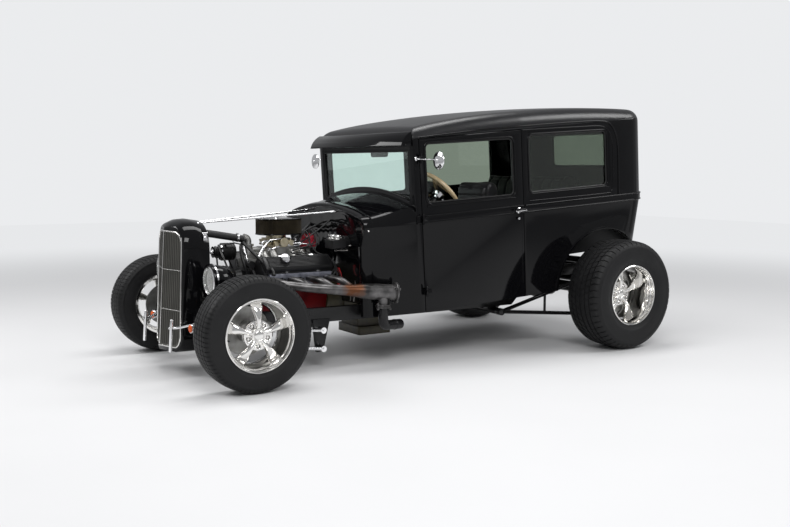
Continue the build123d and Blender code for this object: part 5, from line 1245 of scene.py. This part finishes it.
seals = Shape()
seals.tube(on_side(ring_points(x0 + 3, x1 - 3, z0 + 3, z1 - 3, 32), -9), 7, 8, closed=True)
seals.mirror()
seals.tube([level(TAIL_X + 8, y, z) for y, z in ring_points(-338, 338, 1227, 1473, 40)], 7, 8, closed=True,
           up=(1, 0, 0))
low, top, half = 1107.0, 1467.0, 556.0
screen_ring = []
for k in range(25):
    y = -(half - 22) + (half - 22) * 2 * k / 24
    screen_ring.append((y, low + 22 + 80 * (1 - (y / half) ** 2)))
screen_ring += [(half - 22, top - 22), (-(half - 22), top - 22)]
seals.tube([level(POST_X - 6, y, z) for y, z in screen_ring], 5, 8, closed=True, up=(1, 0, 0))
seals.build("window_seals", gasket, slot="radiator_black", angle=60)

for side, way in (("left", 1), ("right", -1)):
    door = Shape()
    for z, r in ((1039, 5.5), (995, 5.0)):
        door.tube(on_side([(x, z) for x in (1432, 1150, 900, 657)], 6), r, 10)
    door.tube(on_side([(1432, 1508), (1180, 1518), (900, 1527), (657, 1536)], -1), 4.5, 10)
    door.tube(on_side(ring_points(712, 1400, 1106, 1498, 42), -1), 5.5, 10, closed=True)
    door.tube(on_side([(x, 1098) for x in (1396, 1060, 716)], 1), 4.5, 10)
    # fine seam inside the door's edge, sill to belt
    door.tube(on_side([(666, 985), (668, 760), (670, 520)], -2.6), 3.2, 8)
    inner = Shape()
    inner.tube(on_side(ring_points(723, 1389, 1117, 1487, 32), -10), 7, 8, closed=True)
    metal = Shape()
    handle = Vector(level(701, 663, 1011))
    metal.lathe([(0, 0.1), (0, 20), (3, 19), (6, 12), (9, 10), (9, 0.1)], handle, (0, 1, 0), 28, closed=False)
    grip = [level(701 + d, 690 - 0.0009 * d * d, 1011) for d in (-46, -38, -20, 0, 20, 38, 46)]
    metal.tube(smooth_path(grip, 4), [5, 6.5] + [8] * 21 + [6.5, 5], 12)
    metal.rod(level(701, 664, 1011), level(701, 690, 1011), 8.5, 9)
    metal.lathe([(0, 0.1), (0, 9), (2.5, 8), (3, 3), (3, 0.1)], level(701, 662, 958), (0, 1, 0), 20,
                closed=False)
    # inside: trim panel
    pad = Shape()
    pad.grid([[level(x, half_width(x, z) - 34 - (6 if 0 < i < 8 and 0 < k < 6 else 0), z) for k,
               z in enumerate(
        (480, 486, 600, 740, 880, 990, 1004))] for i, x in enumerate((1404, 1398, 1300, 1180, 1060, 940,
                                                                      820, 706, 700))])
    if way < 0:
        for shape in (door, inner, metal, pad):
            shape.verts = [(a, -b, c) for a, b, c in shape.verts]
    door.build(f"door_beads_{side}", black_gloss, f"door_{side}", "black_paint", angle=60)
    inner.build(f"door_seal_{side}", gasket, f"door_{side}", "radiator_black", angle=60)
    metal.build(f"door_handle_{side}_trim", chrome, f"door_{side}", "chrome")
    pad.build(f"door_panel_{side}", leather, f"door_{side}", "seat_vinyl", angle=60)

# Rivets and bolts along the cowl's front lip
dots = Shape()
lip = [(452 + 7, 1055), (526 + 5, 990), (470 + 7, 870), (456 + 7, 700), (449 + 7, 520)]
lip_run = smooth_path([(y, z, 0) for y, z in lip], 6)
for k in range(1, len(lip_run) - 1, 2):
    y, z = lip_run[k].x, lip_run[k].y
    at = Vector(level(1792, y + 1, z))
    dots.lathe([(0, 0.1), (0, 6.5), (2, 6), (4, 3), (4.4, 0.1)], at, (0, 1, 0.15), 16, closed=False)
dots.mirror()
lip_bead = [(p.x + 1.5, p.y) for p in lip_run]
over = [(y, 1129 - 74 * (y / 452) ** 2) for y in range(440, -441, -40)]
edge_run = list(reversed(lip_bead[1:])) + over + [(-y, z) for y, z in lip_bead[1:]]
crown = [(y, 1129 - 74 * (y / 452) ** 2) for y in range(-420, 421, 60)]
for y, z in crown:
    dots.lathe([(0, 0.1), (0, 6.5), (2, 6), (4, 3), (4.4, 0.1)], level(1792, y, z), (0.07, y / 1100, 1), 16,
               closed=False)
dots.build("cowl_rivets", polished, slot="chrome", angle=50)
welt = Shape()
welt.tube([level(1766, y, z) for y, z in edge_run], 5.5, 10)
welt.build("cowl_welt", black_gloss, slot="black_paint", angle=60)

# Nose: bright surround, mesh behind the bars, ridge strip and side latches


def nose_x(y, z, back=0.0):
    """The V-shaped nose's surface at y and z."""
    share = (z - 100) / 900
    ridge = 3007 - 52 * share
    edge = 2949 - 36.6 * share
    return ridge - (ridge - edge) * abs(y) / 205 - back


def grille_ring(inset, steps=8):
    """The grille's outline as (y, z) points, from the foot up the left side and down the right."""
    half, low, top = 196 - inset, 176 + inset, 858 - inset
    left = [(0, low), (half - 60, low + 0.5), (half - 30, low + 8), (half - 12, low + 28),
            (half - 2, low + 62), (half, low + 90),
            (half - 10, top - 80), (half - 16, top - 52), (half - 34, top - 24), (half - 60, top - 9),
            (half - 92, top - 3), (0, top)]
    run = [(v.x, v.y) for v in smooth_path([(y, z, 0) for y, z in left], steps)]
    return run + [(-y, z) for y, z in reversed(run[1:-1])]


surround = Shape()
surround.tube([(nose_x(y, z) + 1, y, z) for y, z in grille_ring(-2)], 4.2, 10, closed=True)
surround.tube([(nose_x(0, z) + 0.5, 0, z) for z in range(182, 856, 60)] + [(nose_x(0, 856), 0, 856)], 2.6, 8)
for z in (395, 632):
    run = [(y, z) for y in range(-186, 187, 31)]
    surround.tube([(nose_x(y, z) + 0.4, y, z) for y, z in run], 1.6, 8)
surround.build("grille_surround", polished, slot="chrome", angle=50)
weave = Shape()
rows = []
for z in range(184, 853, 12):
    rows.append([(nose_x(y, z, 9.5), y, z) for y in range(-186, 187, 12)])
weave.grid(rows)
for i in range(-21, 21):
    y = (i + 0.5) * 9.0
    if abs(i + 0.5) % 2 > 0:
        weave.tube([(nose_x(y, z, 4), y, z) for z in (186, 400, 620, 846 - max(0, abs(y) - 120) * 0.5)],
                   1.9, 6)
weave.build("grille_mesh", grille_dark, slot="dark_grille", angle=50)
latch = Shape()
for z, x in ((838, 2786), (902, 2790)):
    y = 178 if z < 850 else 96
    axis = (0, 1, 0.35) if z < 850 else (0, 0.5, 1)
    latch.lathe([(0, 0.1), (0, 11), (4, 10), (8, 6), (9, 0.1)], (x, y + (24 if z < 850 else 8), z), axis,
                20, closed=False)
latch.slab([(2776, 208, 842), (2800, 208, 842), (2800, 213, 806), (2776, 213, 806)], (0, 4, 1))
latch.rod((2788, 214, 826), (2788, 224, 826), 6)
latch.rod((2770, 206, 850), (2806, 206, 850), 4.5)
latch.mirror()
latch.build("shell_latches", chrome, slot="chrome", bevel=0.6)

# Headlamps: fluted lens, reflector, bulb and a thin rim
for way in (1, -1):
    centre = (2839.0, way * 397.0, 589.0)
    tag = "left" if way > 0 else "right"
    rim = Shape()
    rim.lathe([(-6, 79), (-2, 82.5), (5, 84), (9, 81), (9, 78), (3, 77)], centre, (1, 0, 0), 64)
    rim.lathe([(-58, 98.5), (-54, 99.5), (-50, 98.5), (-54, 96)], (2839 + 40, way * 397, 589), (1, 0, 0), 64)
    rim.build(f"lamp_rim_{tag}", chrome, slot="chrome")
    bowl = Shape()
    bowl.lathe([(2, 77), (-14, 76), (-34, 66), (-52, 46), (-60, 22), (-61, 0.1)], centre, (1, 0, 0), 56,
               closed=False)
    bowl.rod((2780, way * 397, 589), (2806, way * 397, 589), 11, 9)
    bowl.build(f"lamp_bowl_{tag}", reflector, slot="polished_alloy", angle=50)
    lens = Shape()
    rows = []
    for k in range(72):
        a = 2 * pi * k / 72
        row = []
        for r in (0.5, 12, 24, 36, 48, 58, 66, 72, 76, 77.5):
            y, z = r * cos(a), r * sin(a)
            dome = 15 * (1 - (r / 77.5) ** 2)
            row.append((2839 + 2 + dome, way * (397 + y), 589 + z))
        rows.append(row)
    lens.grid(rows, loop=True)
    flutes = lens.build(f"lamp_lens_{tag}", lamp_glass, slot="lamp_glass", angle=70)
    skin = flutes.modifiers.new("skin", "SOLIDIFY")
    skin.thickness = 0.003
    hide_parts("headlamp_lenses")

# Small outside fittings: nerf bars, stay rods, mirrors, hinges and the fluid reservoir
fit = Shape()
fit.tube(smooth_path([(3006, 228, 352), (3009, 228, 330), (3012, 228, 290), (3017, 228, 220),
                      (3020, 228, 166)], 5), 9.5, 16)
fit.lathe([(0, 0.1), (0, 9.5), (2.5, 8), (3.5, 0.1)], (3006, 228, 352), (-0.12, 0, 1), 16, closed=False)
fit.tube(bent_path([(3010, 228, 306), (2984, 240, 306), (2958, 262, 312), (2898, 302, 330)], 20), 7, 12)
fit.bolt((3020, 228, 306), (1, 0, 0), 7, 5)
mirror_at = Vector((1509, 786, 1283))
foot = Vector(level(1460, 599, 1398))
fit.tube(smooth_path([foot, foot + Vector((10, 40, -4)), mirror_at + Vector((6, -52, 6)),
                      mirror_at + Vector((8, -20, 0))], 6), 4, 10)
fit.lathe([(0, 0.1), (0, 14), (5, 13), (9, 7), (9, 0.1)], foot, (0, 1, 0), 24, closed=False)
fit.lathe([(0, 0.1), (0, 50), (1, 54.5), (4, 55.5), (7, 54), (11, 46), (15, 33), (18, 18), (19, 9), (24, 8),
           (25, 0.1)], mirror_at,
          (1, 0, 0), 48, closed=False)
fit.mirror()
fit_obj = fit.build("outside_fittings", chrome, slot="chrome", angle=36)
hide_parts("bright_fittings")
stays = Shape()
stays.rod((2764, 30, 902), level(1816, 178, 1084), 5.5, sides=16)
stays.lathe([(-14, 5), (-12, 9), (12, 9), (14, 5)], (2750, 33, 903), (-0.98, 0.15, 0.1), 20, closed=False)
stays.lathe([(-14, 5), (-12, 9), (12, 9), (14, 5)], Vector(level(1816, 178, 1084)) + Vector((30, -5, -4)),
            (-0.98, 0.15, 0.1), 20,
            closed=False)
stays.mirror()
stays.build("stay_bars", chrome, slot="chrome", angle=50)
pins = Shape()
for z in (560, 1018, 1400):
    pins.rod(level(1440, 622, z - 30), level(1440, 622, z + 30), 8)
    for end, way in ((z - 30, -1), (z + 30, 1)):
        pins.rod(level(1440, 622, end), level(1440, 622, end + way * 5), 6, 3)
    pins.slab([level(1441, 584, z + d) for d in (-24, 24)] + [level(1441, 621, z + d) for d in (20, -20)],
              (6, 0, 0))
    for d in (-13, 13):
        pins.bolt(level(1450, 604, z + d), (1, 0.1, 0), 4, 2)
pins.mirror()
pins.build("hinge_barrels", black_gloss, slot="black_paint", angle=40)

# Brake reservoir on the firewall with two steel lines
tank = Shape()
tank.block(0, 92, -56, 56, -38, 18)
tank.rod((-4, 0, -10), (-41, 0, -10), 44, 40)
tank.move(Matrix.Translation(Vector(level(1856, 300, 905))) @ Matrix.Rotation(RAKE, 4, "Y"))
tank.build("reservoir_body", satin_black, slot="crackle_black", bevel=3)
lid = Shape()
for y in (-28, 28):
    lid.lathe([(18, 0.1), (18, 27), (24, 27), (26, 25), (32, 25), (34, 27), (40, 26), (46, 18), (49, 8),
               (50, 0.1)], (46, y, 0), (0, 0, 1),
              36, closed=False)
    for k in range(12):
        a = 2 * pi * k / 12
        lid.rod((46 + 26 * cos(a), y + 26 * sin(a), 24), (46 + 24 * cos(a), y + 24 * sin(a), 42), 2, 1.4,
                sides=8)
lid.tube(bent_path([(92, -30, 26), (98, 0, 30), (92, 30, 26)], 10), 2.5, 8)
lid.move(Matrix.Translation(Vector(level(1856, 300, 905))) @ Matrix.Rotation(RAKE, 4, "Y"))
lid.build("reservoir_caps", polished, slot="chrome", angle=36)
lines = Shape()
lines.tube(bent_path([(1930, 268, 716), (1880, 296, 716), (1846, 309, 716), (1846, 309, 600),
                      (1848, 307, 470), (1848, 300, 392)], 22), 3.6, 10)
lines.tube(bent_path([(1952, 300, 752), (1900, 322, 750), (1858, 350, 748), (1852, 378, 706),
                      (1852, 371, 560), (1856, 366, 460),
                      (1858, 356, 394)], 22), 3.6, 10)
for at in ((1930, 268, 716), (1952, 300, 752)):
    lines.rod(at, Vector(at) + Vector((14, -8, 2)), 6.5, sides=6)
lines.build("brake_lines", steel, slot="chrome", angle=50)

# Signal lamps and tail lamps
lamps = Shape()
metal = Shape()
lamps.lathe([(22, 0.1), (21, 10), (18, 17), (14, 22), (8, 24), (8, 0.1)], (2922, 325, 310), (1, 0, 0), 40,
            closed=False)
metal.lathe([(-30, 0.1), (-26, 14), (-12, 24), (2, 28), (10, 27), (10, 24)], (2922, 325, 310), (1, 0, 0),
            40, closed=False)
metal.tube([(2916, 325, 320), (2900, 325, 330)], 8, 12)
lamps.mirror()
metal.mirror()
spot = Vector(level(TAIL_X + 34, 470, 880))
back = Vector((-cos(RAKE - radians(10)), 0, sin(RAKE - radians(10))))
lamps.finish = 1
before, before_face = len(lamps.verts), len(lamps.faces)
lamps.lathe([(33, 0.1), (33, 30), (40, 28), (45, 18), (46, 0.1)], spot, back, 40, closed=False)
lamps.mirror(before, before_face)
before, before_face = len(metal.verts), len(metal.faces)
metal.lathe([(0, 0.1), (0, 37), (28, 39), (34, 38), (36, 34), (36, 29), (30, 28)], spot, back, 40,
            closed=False)
metal.mirror(before, before_face)
lamps_obj = lamps.build("lamp_lenses", [amber, red_lens], slot="amber_lens", angle=50)
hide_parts("signal_lamps")
metal.build("lamp_housings", chrome, slot="chrome")

# Radiator: finned core in its frame, tanks, upper hose with clamps, and an electric fan
cool = Shape()
for x in (2778, 2822):
    for k in range(64):
        z = 196 + k * 9.2
        cool.block(x - 1, x + 1, -170, 170, z, z + 2.4)
for k in range(29):
    y = -168 + k * 12
    cool.block(2780, 2820, y - 1.2, y + 1.2, 194, 784)
for y0, y1, z0, z1 in ((-176, -166, 190, 790), (166, 176, 190, 790), (-176, 176, 784, 800),
                       (-176, 176, 184, 196)):
    cool.block(2776, 2824, y0, y1, z0, z1)
cool.block(2778, 2822, -104, 104, 800, 869)
cool.lathe([(-6, 0.1), (-6, 120), (0, 124), (34, 124), (36, 120), (36, 112), (4, 108), (4, 0.1)],
           (2740, 0, 480), (1, 0, 0), 56,
           closed=False)
cool.rod((2716, 0, 480), (2738, 0, 480), 42, 46)
for k in range(4):
    a = pi / 4 + k * pi / 2
    cool.tube([(2738, 40 * cos(a), 480 + 40 * sin(a)), (2738, 118 * cos(a), 480 + 118 * sin(a))], 6, 8)
cool_obj = cool.build("radiator_core", satin_black, slot="radiator_black")
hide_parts("radiator")
hose = Shape()
hose.tube(smooth_path([(2780, 0, 838), (2704, 0, 835), (2600, 0, 818), (2480, 0, 796), (2440, 0, 784)], 6),
          22.5, 24)
for x, z in ((2766, 838), (2752, 838)):
    hose.lathe([(-5, 23), (-5, 25.5), (5, 25.5), (5, 23)], (x, 0, z), (1, 0, 0.04), 32)
hose.build("upper_hose", hose_rubber, slot="radiator_black", angle=50)
clamps = Shape()
for x, z, axis in ((2742, 836.5, (1, 0, 0.05)), (2492, 798.5, (1, 0, 0.17))):
    clamps.lathe([(-6, 22.8), (-6, 24.6), (6, 24.6), (6, 22.8)], (x, 0, z), axis, 36)
    clamps.rod((x, 14, z + 27), (x, -10, z + 27), 4.5, sides=8)
clamps.build("hose_clamps", chrome, slot="chrome")


# Seats and bench: pads blown up as cloth, then sewn into channels and piped


def evaluated(obj):
    graph = bpy.context.evaluated_depsgraph_get()
    return bpy.data.meshes.new_from_object(obj.evaluated_get(graph))


def with_modifier(obj, kind, **values):
    """Applies one modifier to the object's mesh."""
    mod = obj.modifiers.new("step", kind)
    for key, value in values.items():
        setattr(mod, key, value)
    mesh = evaluated(obj)
    obj.modifiers.remove(mod)
    obj.data = mesh


def blow_up(obj, cap):
    """Cloth with inner pressure, applied; no point moves more than cap metres."""
    mod = obj.modifiers.new("cloth", "CLOTH")
    mod.settings.quality = 3
    mod.settings.mass = 0.3
    mod.settings.use_pressure = True
    mod.settings.uniform_pressure_force = 4
    mod.settings.tension_stiffness = 15
    mod.settings.compression_stiffness = 15
    mod.settings.effector_weights.gravity = 0
    for frame_number in range(1, 21):
        bpy.context.scene.frame_set(frame_number)
    swollen = evaluated(obj)
    obj.modifiers.remove(mod)
    bpy.context.scene.frame_set(1)
    for before, after in zip(obj.data.vertices, swollen.vertices):
        step = after.co - before.co
        if step.length > cap:
            step *= cap / step.length
        before.co = before.co + step


def pad(name, outline, half, corner, sew, taper=0.0, cap=20.0):
    """A cushion from a level (x, z) outline, half its width to each side, in metres about y = 0."""
    mesh = bpy.data.meshes.new(name)
    work = bmesh.new()
    ends = []
    for side in (-1, 1):
        ends.append([work.verts.new((x / 1000, side * (half - taper * max(0, z - outline[0][1])) / 1000,
                                     z / 1000)) for x, z in outline])
    count = len(outline)
    work.faces.new(ends[0])
    work.faces.new(list(reversed(ends[1])))
    for i in range(count):
        j = (i + 1) % count
        work.faces.new((ends[0][j], ends[0][i], ends[1][i], ends[1][j]))
    bmesh.ops.bevel(work, geom=list(work.edges), offset=corner / 1000, segments=3, affect="EDGES",
                    profile=0.6)
    bmesh.ops.recalc_face_normals(work, faces=work.faces)
    work.to_mesh(mesh)
    work.free()
    obj = bpy.data.objects.new(name, mesh)
    bpy.context.collection.objects.link(obj)
    with_modifier(obj, "REMESH", mode="VOXEL", voxel_size=0.012, use_smooth_shade=True)
    blow_up(obj, cap / 1000)
    with_modifier(obj, "SUBSURF", levels=1, render_levels=1)
    sewn = []
    for v in obj.data.vertices:
        depth = sew(*(c * 1000 for c in v.co), v.normal)
        sewn.extend(v.co - v.normal * (depth / 1000))
    obj.data.vertices.foreach_set("co", sewn)
    return obj


def settle(obj, y_centre):
    for v in obj.data.vertices:
        x, y, z = level(v.co.x * 1000, v.co.y * 1000 + y_centre, v.co.z * 1000)
        v.co = ((x + AXLE_X) / 1000, y / 1000, z / 1000)
    obj.data.materials.clear()
    obj.data.materials.append(leather)
    for face in obj.data.polygons:
        face.use_smooth = True
    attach(obj, "chassis")


def groove(distance, depth=7.0, width=7.0):
    return depth * exp(-(distance / width) ** 2)


def cushion_sew(x, y, z, normal):
    """Channels across the middle panel and a seam round it, on the top face."""
    if normal.z < 0.35:
        return 0.0
    depth = groove(abs(y) - 150, 9) if 790 < x < 1215 else 0.0
    if abs(y) < 150:
        depth += sum(groove(x - at, 6, 6) for at in range(850, 1200, 62))
    return depth


def back_sew(x, y, z, normal):
    if normal.x < 0.3:
        return 0.0
    depth = groove(abs(y) - 150, 9) if z < 1170 else groove(z - 1172, 7)
    if abs(y) < 150 and z < 1170:
        depth += sum(groove(z - at, 6, 6) for at in range(740, 1170, 62))
    return depth


def bench_sew(x, y, z, normal):
    if normal.z < 0.35:
        return 0.0
    return sum(groove(y - at, 8, 8) for at in range(-400, 401, 100)) + groove(x - 455, 6)


def bench_back_sew(x, y, z, normal):
    if normal.x < 0.3:
        return 0.0
    return sum(groove(y - at, 8, 8) for at in range(-400, 401, 100)) + groove(z - 1170, 6)


CUSHION = [(796, 598), (1190, 598), (1216, 640), (1212, 712), (1180, 734), (1000, 722), (800, 716)]
BACK = [(790, 662), (868, 668), (874, 720), (800, 1190), (768, 1222), (712, 1204), (716, 1150)]
BENCH = [(84, 690), (470, 690), (482, 716), (476, 770), (440, 786), (90, 772)]
BENCH_BACK = [(58, 700), (146, 792), (60, 1196), (34, 1206), (-16, 1194), (-20, 1150)]
seat_pieces = []
for name, outline, sew, taper in (("seat_cushion", CUSHION, cushion_sew, 0.0),
                                  ("seat_back", BACK, back_sew, 0.09)):
    left = pad(f"{name}_left", outline, 228, 34 if name == "seat_cushion" else 26, sew, taper)
    right = bpy.data.objects.new(f"{name}_right", left.data.copy())
    bpy.context.collection.objects.link(right)
    settle(left, 300)
    settle(right, -300)
    seat_pieces += [left, right]
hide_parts("seats")
for name, outline, sew in (("bench_cushion", BENCH, bench_sew), ("bench_back", BENCH_BACK, bench_back_sew)):
    piece = pad(name, outline, 478, 24, sew)
    settle(piece, 0)
    seat_pieces.append(piece)

# Seat risers, piping and hinge covers
risers = Shape()
for y in (130, 470):
    risers.block(810, 1190, y - 16, y + 16, 525, 545)
    risers.block(826, 850, y - 12, y + 12, 545, 592)
    risers.block(1150, 1174, y - 12, y + 12, 545, 592)
    risers.slab([(780, y - 4, 590), (880, y - 4, 590), (850, y - 4, 700), (796, y - 4, 700)], (0, 8, 0))
risers.block(800, 1200, 90, 510, 585, 597)
risers.rod((1204, 190, 560), (1204, 420, 560), 7)
risers.move(Matrix.Rotation(RAKE, 4, "Y"))
risers.mirror()
risers.build("seat_risers", satin_black, slot="frame_black", bevel=2)
base = Shape()
base.block(70, 480, -480, 480, 668, 692)
base.slab([(-34, -480, 1160), (-20, -480, 1160), (60, -480, 690), (40, -480, 690)], (0, 960, 0))
base.move(Matrix.Rotation(RAKE, 4, "Y"))
base.build("bench_frame", satin_black, slot="frame_black", bevel=2)

# Headliner with its seams, sun visors and the inside mirror
liner = Shape()
rows = []
for i in range(27):
    x = 1400 - i * (1400 + 470) / 26
    wide = half_width(x, roof_edge(x) - ROOF_R - 20) - 46
    dip = 5 if i % 5 == 3 else 0
    rows.append([level(x, wide * k / 10,
                       roof_edge(x) - 60 + 34 * (1 - (k / 10) ** 2) - dip) for k in range(-10, 11)])
liner.grid(rows)
lined = liner.build("headliner_sheet", headliner, slot="seat_vinyl", angle=60)
thick = lined.modifiers.new("skin", "SOLIDIFY")
thick.thickness = 0.003
shade = Shape()
shade.slab([level(1405, 110, 1500), level(1405, 490, 1500), level(1290, 490, 1522), level(1290, 110, 1522)],
           (0, 0, 12))
shade.mirror()
shade.build("sun_visors", leather, slot="seat_vinyl", bevel=5)
glass_back = Shape()
glass_back.slab([level(1412, y, z) for y, z in ring_points(-10, 190, 1408, 1460, 20)], (-14, 0, 2))
glass_back.rod(level(1440, 90, 1500), level(1416, 90, 1440), 6)
glass_back.lathe([(0, 0.1), (0, 20), (6, 18), (8, 0.1)], level(1440, 90, 1496), (-0.3, 0, -1), 20,
                 closed=False)
glass_back.build("inside_mirror", satin_black, slot="crackle_black", bevel=2)

# Dash: an oval of dials and switches
DASH_X = 1392.0
dials = Shape()
faces = Shape()
marks = Shape()
for y, z, r in ((0, 985, 46), (-98, 985, 30), (-172, 985, 30), (98, 985, 30), (172, 985, 30)):
    spot = level(DASH_X, y, z)
    away = Vector(level(-1, 0, 0))
    dials.lathe([(0, r), (0, r + 5), (5, r + 6), (8, r + 3), (8, r), (3, r - 1)], spot, away, 44)
    faces.lathe([(0, 0.1), (0, r), (2.5, r), (2.5, 0.1)], spot, away, 40, closed=False)
    for k in range(11):
        a = radians(-120 + 24 * k)
        side, up = sin(a), cos(a)
        p = level(DASH_X - 3, y + side * (r - 6), z + up * (r - 6))
        q = level(DASH_X - 3, y + side * (r - (13 if k % 5 == 0 else 10)),
                  z + up * (r - (13 if k % 5 == 0 else 10)))
        marks.rod(p, q, 1.0, sides=6)
    lean = radians(-60 + 30 * (y > 0))
    marks.rod(level(DASH_X - 4, y, z), level(DASH_X - 4, y + sin(lean) * (r - 12),
                                             z + cos(lean) * (r - 12)), 1.3, 0.6, sides=6)
for y in (-300, -270, 262, 292, -330):
    dials.lathe([(0, 9), (3, 9), (3, 4), (16, 4), (16, 9), (24, 8), (25, 0.1)], level(DASH_X, y, 940),
                Vector(level(-1, 0, 0)), 20,
                closed=False)
dials.build("dial_rings", chrome, slot="chrome")
faces.build("dial_faces", dial_face, slot="crackle_black")
marks.build("dial_marks", white_plastic, slot="wheel_cream", angle=60)

# Steering column dress, horn button, shift lever and pedals
helm = Vector((1205, 345, 1052))
foot_point = Vector(level(1640, 345, 667))
spine = (helm - foot_point).normalized()
horn = Shape()
horn.lathe([(17, 0.1), (17, 40), (20, 41), (24, 36), (27, 30), (30, 16), (31, 0.1)], helm, spine, 40,
           closed=False)
horn.build("horn_button", chrome, "steering_wheel", "chrome")
grips = Shape()
side_way = spine.cross(Vector((0, 0, 1))).normalized()
top_way = side_way.cross(spine).normalized()
for k in range(96):
    a = 2 * pi * k / 96
    out = side_way * cos(a) + top_way * sin(a)
    angles = [radians(d) for d in range(130, 231, 20)]
    inner_run = [helm + out * (190 + 13.6 * cos(b)) + spine * (13.6 * sin(b)) for b in angles]
    grips.tube(inner_run, 1.6, 6)
grips.build("wheel_grips", cream, "steering_wheel", "wheel_cream", angle=60)
lever = Shape()
lever.tube(smooth_path([level(1330, 10, 640), level(1320, 14, 800), level(1290, 18, 930)], 8), 6, 12)
lever.tube(smooth_path([foot_point + spine * 390, foot_point + spine * 388 + side_way * 80 + top_way * 10,
                        foot_point + spine * 384 + side_way * 150 + top_way * 20], 5), 3.5, 8)
lever.lathe([(0, 24), (8, 36), (60, 42), (64, 36), (64, 24)], foot_point + spine * 380, spine, 32)
lever.build("levers", chrome, slot="chrome", angle=50)
black_bits = Shape()
black_bits.lathe([(-12, 0.1), (-10, 9), (0, 18), (14, 20), (24, 13), (28, 0.1)], level(1290, 18, 930),
                 (-0.2, 0, 1), 28, closed=False)
black_bits.lathe([(0, 76), (3, 72), (22, 40), (44, 16), (48, 8), (48, 0.1)], level(1334, 10, 632),
                 (0, 0, 1), 32, closed=False)
for y, z, high, wide in ((402, 640, 70, 30), (262, 660, 50, 56), (170, 660, 50, 56)):
    black_bits.slab([level(1560, y - wide / 2, z), level(1560, y + wide / 2, z),
                     level(1580, y + wide / 2, z + high),
                     level(1580, y - wide / 2, z + high)], (-8, 0, 3))
    black_bits.tube(bent_path([level(1572, y, z + high / 2), level(1620, y, z + high / 2 + 60),
                               level(1668, y, z + high / 2 + 150)], 40), 7, 10)
black_bits.build("pedals_and_knob", satin_black, slot="crackle_black", bevel=1.5)


# Finishes of the CAD nodes



def glass_finish(at, normal):
    """The windscreen and the front panes are clear, the quarter panes and the rear pane are tinted."""
    if at[0] > 1200:
        return 0
    return 2 if at[0] < -330 else 1


def wheel_finish(at, normal):
    """The steering wheel's rim is cream, its spokes and hub are bright."""
    hub = level(1205, 345, 1052)
    return 0 if (Vector(at) - Vector(hub)).length > 168 else 1


def radiator_finish(at, normal):
    return 1 if at[0] < 2776 else 0


def signal_finish(at, normal):
    return (0 if at[0] > 2919 else 2) if at[0] > 0 else 1


def floor_finish(at, normal):
    return 1 if normal.z > 0.5 else 0


# node: finishes, bevel in mm, how a face picks its finish
DRESSED = {
    "body_tub": ([black_gloss], 1.5, None),
    "door_left": ([black_gloss], 1.5, None),
    "door_right": ([black_gloss], 1.5, None),
    "cowl": ([black_gloss], 1.5, None),
    "windscreen_posts": ([black_gloss], 1.2, None),
    "roof": ([roof_black], 1.5, None),
    "visor": ([black_gloss], 1.2, None),
    "grille_shell": ([black_gloss], 2.0, None),
    "grille_insert": ([grille_grey], 0, None),
    "frame": ([frame_black], 2.0, None),
    "front_axle": ([frame_black], 1.5, None),
    "rear_axle": ([frame_black], 1.5, None),
    "rear_suspension": ([frame_black], 1.0, None),
    "front_links": ([chrome], 0, None),
    "tie_rod": ([chrome], 0, None),
    "pitman_arm": ([frame_black], 1.0, None),
    "knuckle_left": ([cast], 1.0, None),
    "knuckle_right": ([cast], 1.0, None),
    "engine_block": ([shade_darkened_red_paint, satin_black], 2.0, block_finish),
    "transmission": ([olive_case], 2.0, None),
    "radiator": ([satin_black, hose_rubber], 1.5, radiator_finish),
    "floor_pan": ([satin_black, carpet], 0, floor_finish),
    "seats": ([leather], 0, None),
    "dash": ([black_gloss], 2.0, None),
    "steering_column": ([satin_black], 1.0, None),
    "steering_wheel": ([cream, chrome], 0, wheel_finish),
    "fixed_glass": ([screen_glass, dark_glass, tail_glass], 0, glass_finish),
    "door_glass_right": ([screen_glass], 0, None),
    "headlamps": ([black_gloss], 1.0, None),
    "headlamp_lenses": ([lamp_glass], 0, None),
    "signal_lamps": ([amber, red_lens, chrome], 0, signal_finish),
    "bright_fittings": ([chrome], 0, None),
}
for node, (mats, soft, pick) in DRESSED.items():
    dress(node, *mats, bevel=soft, pick=pick)
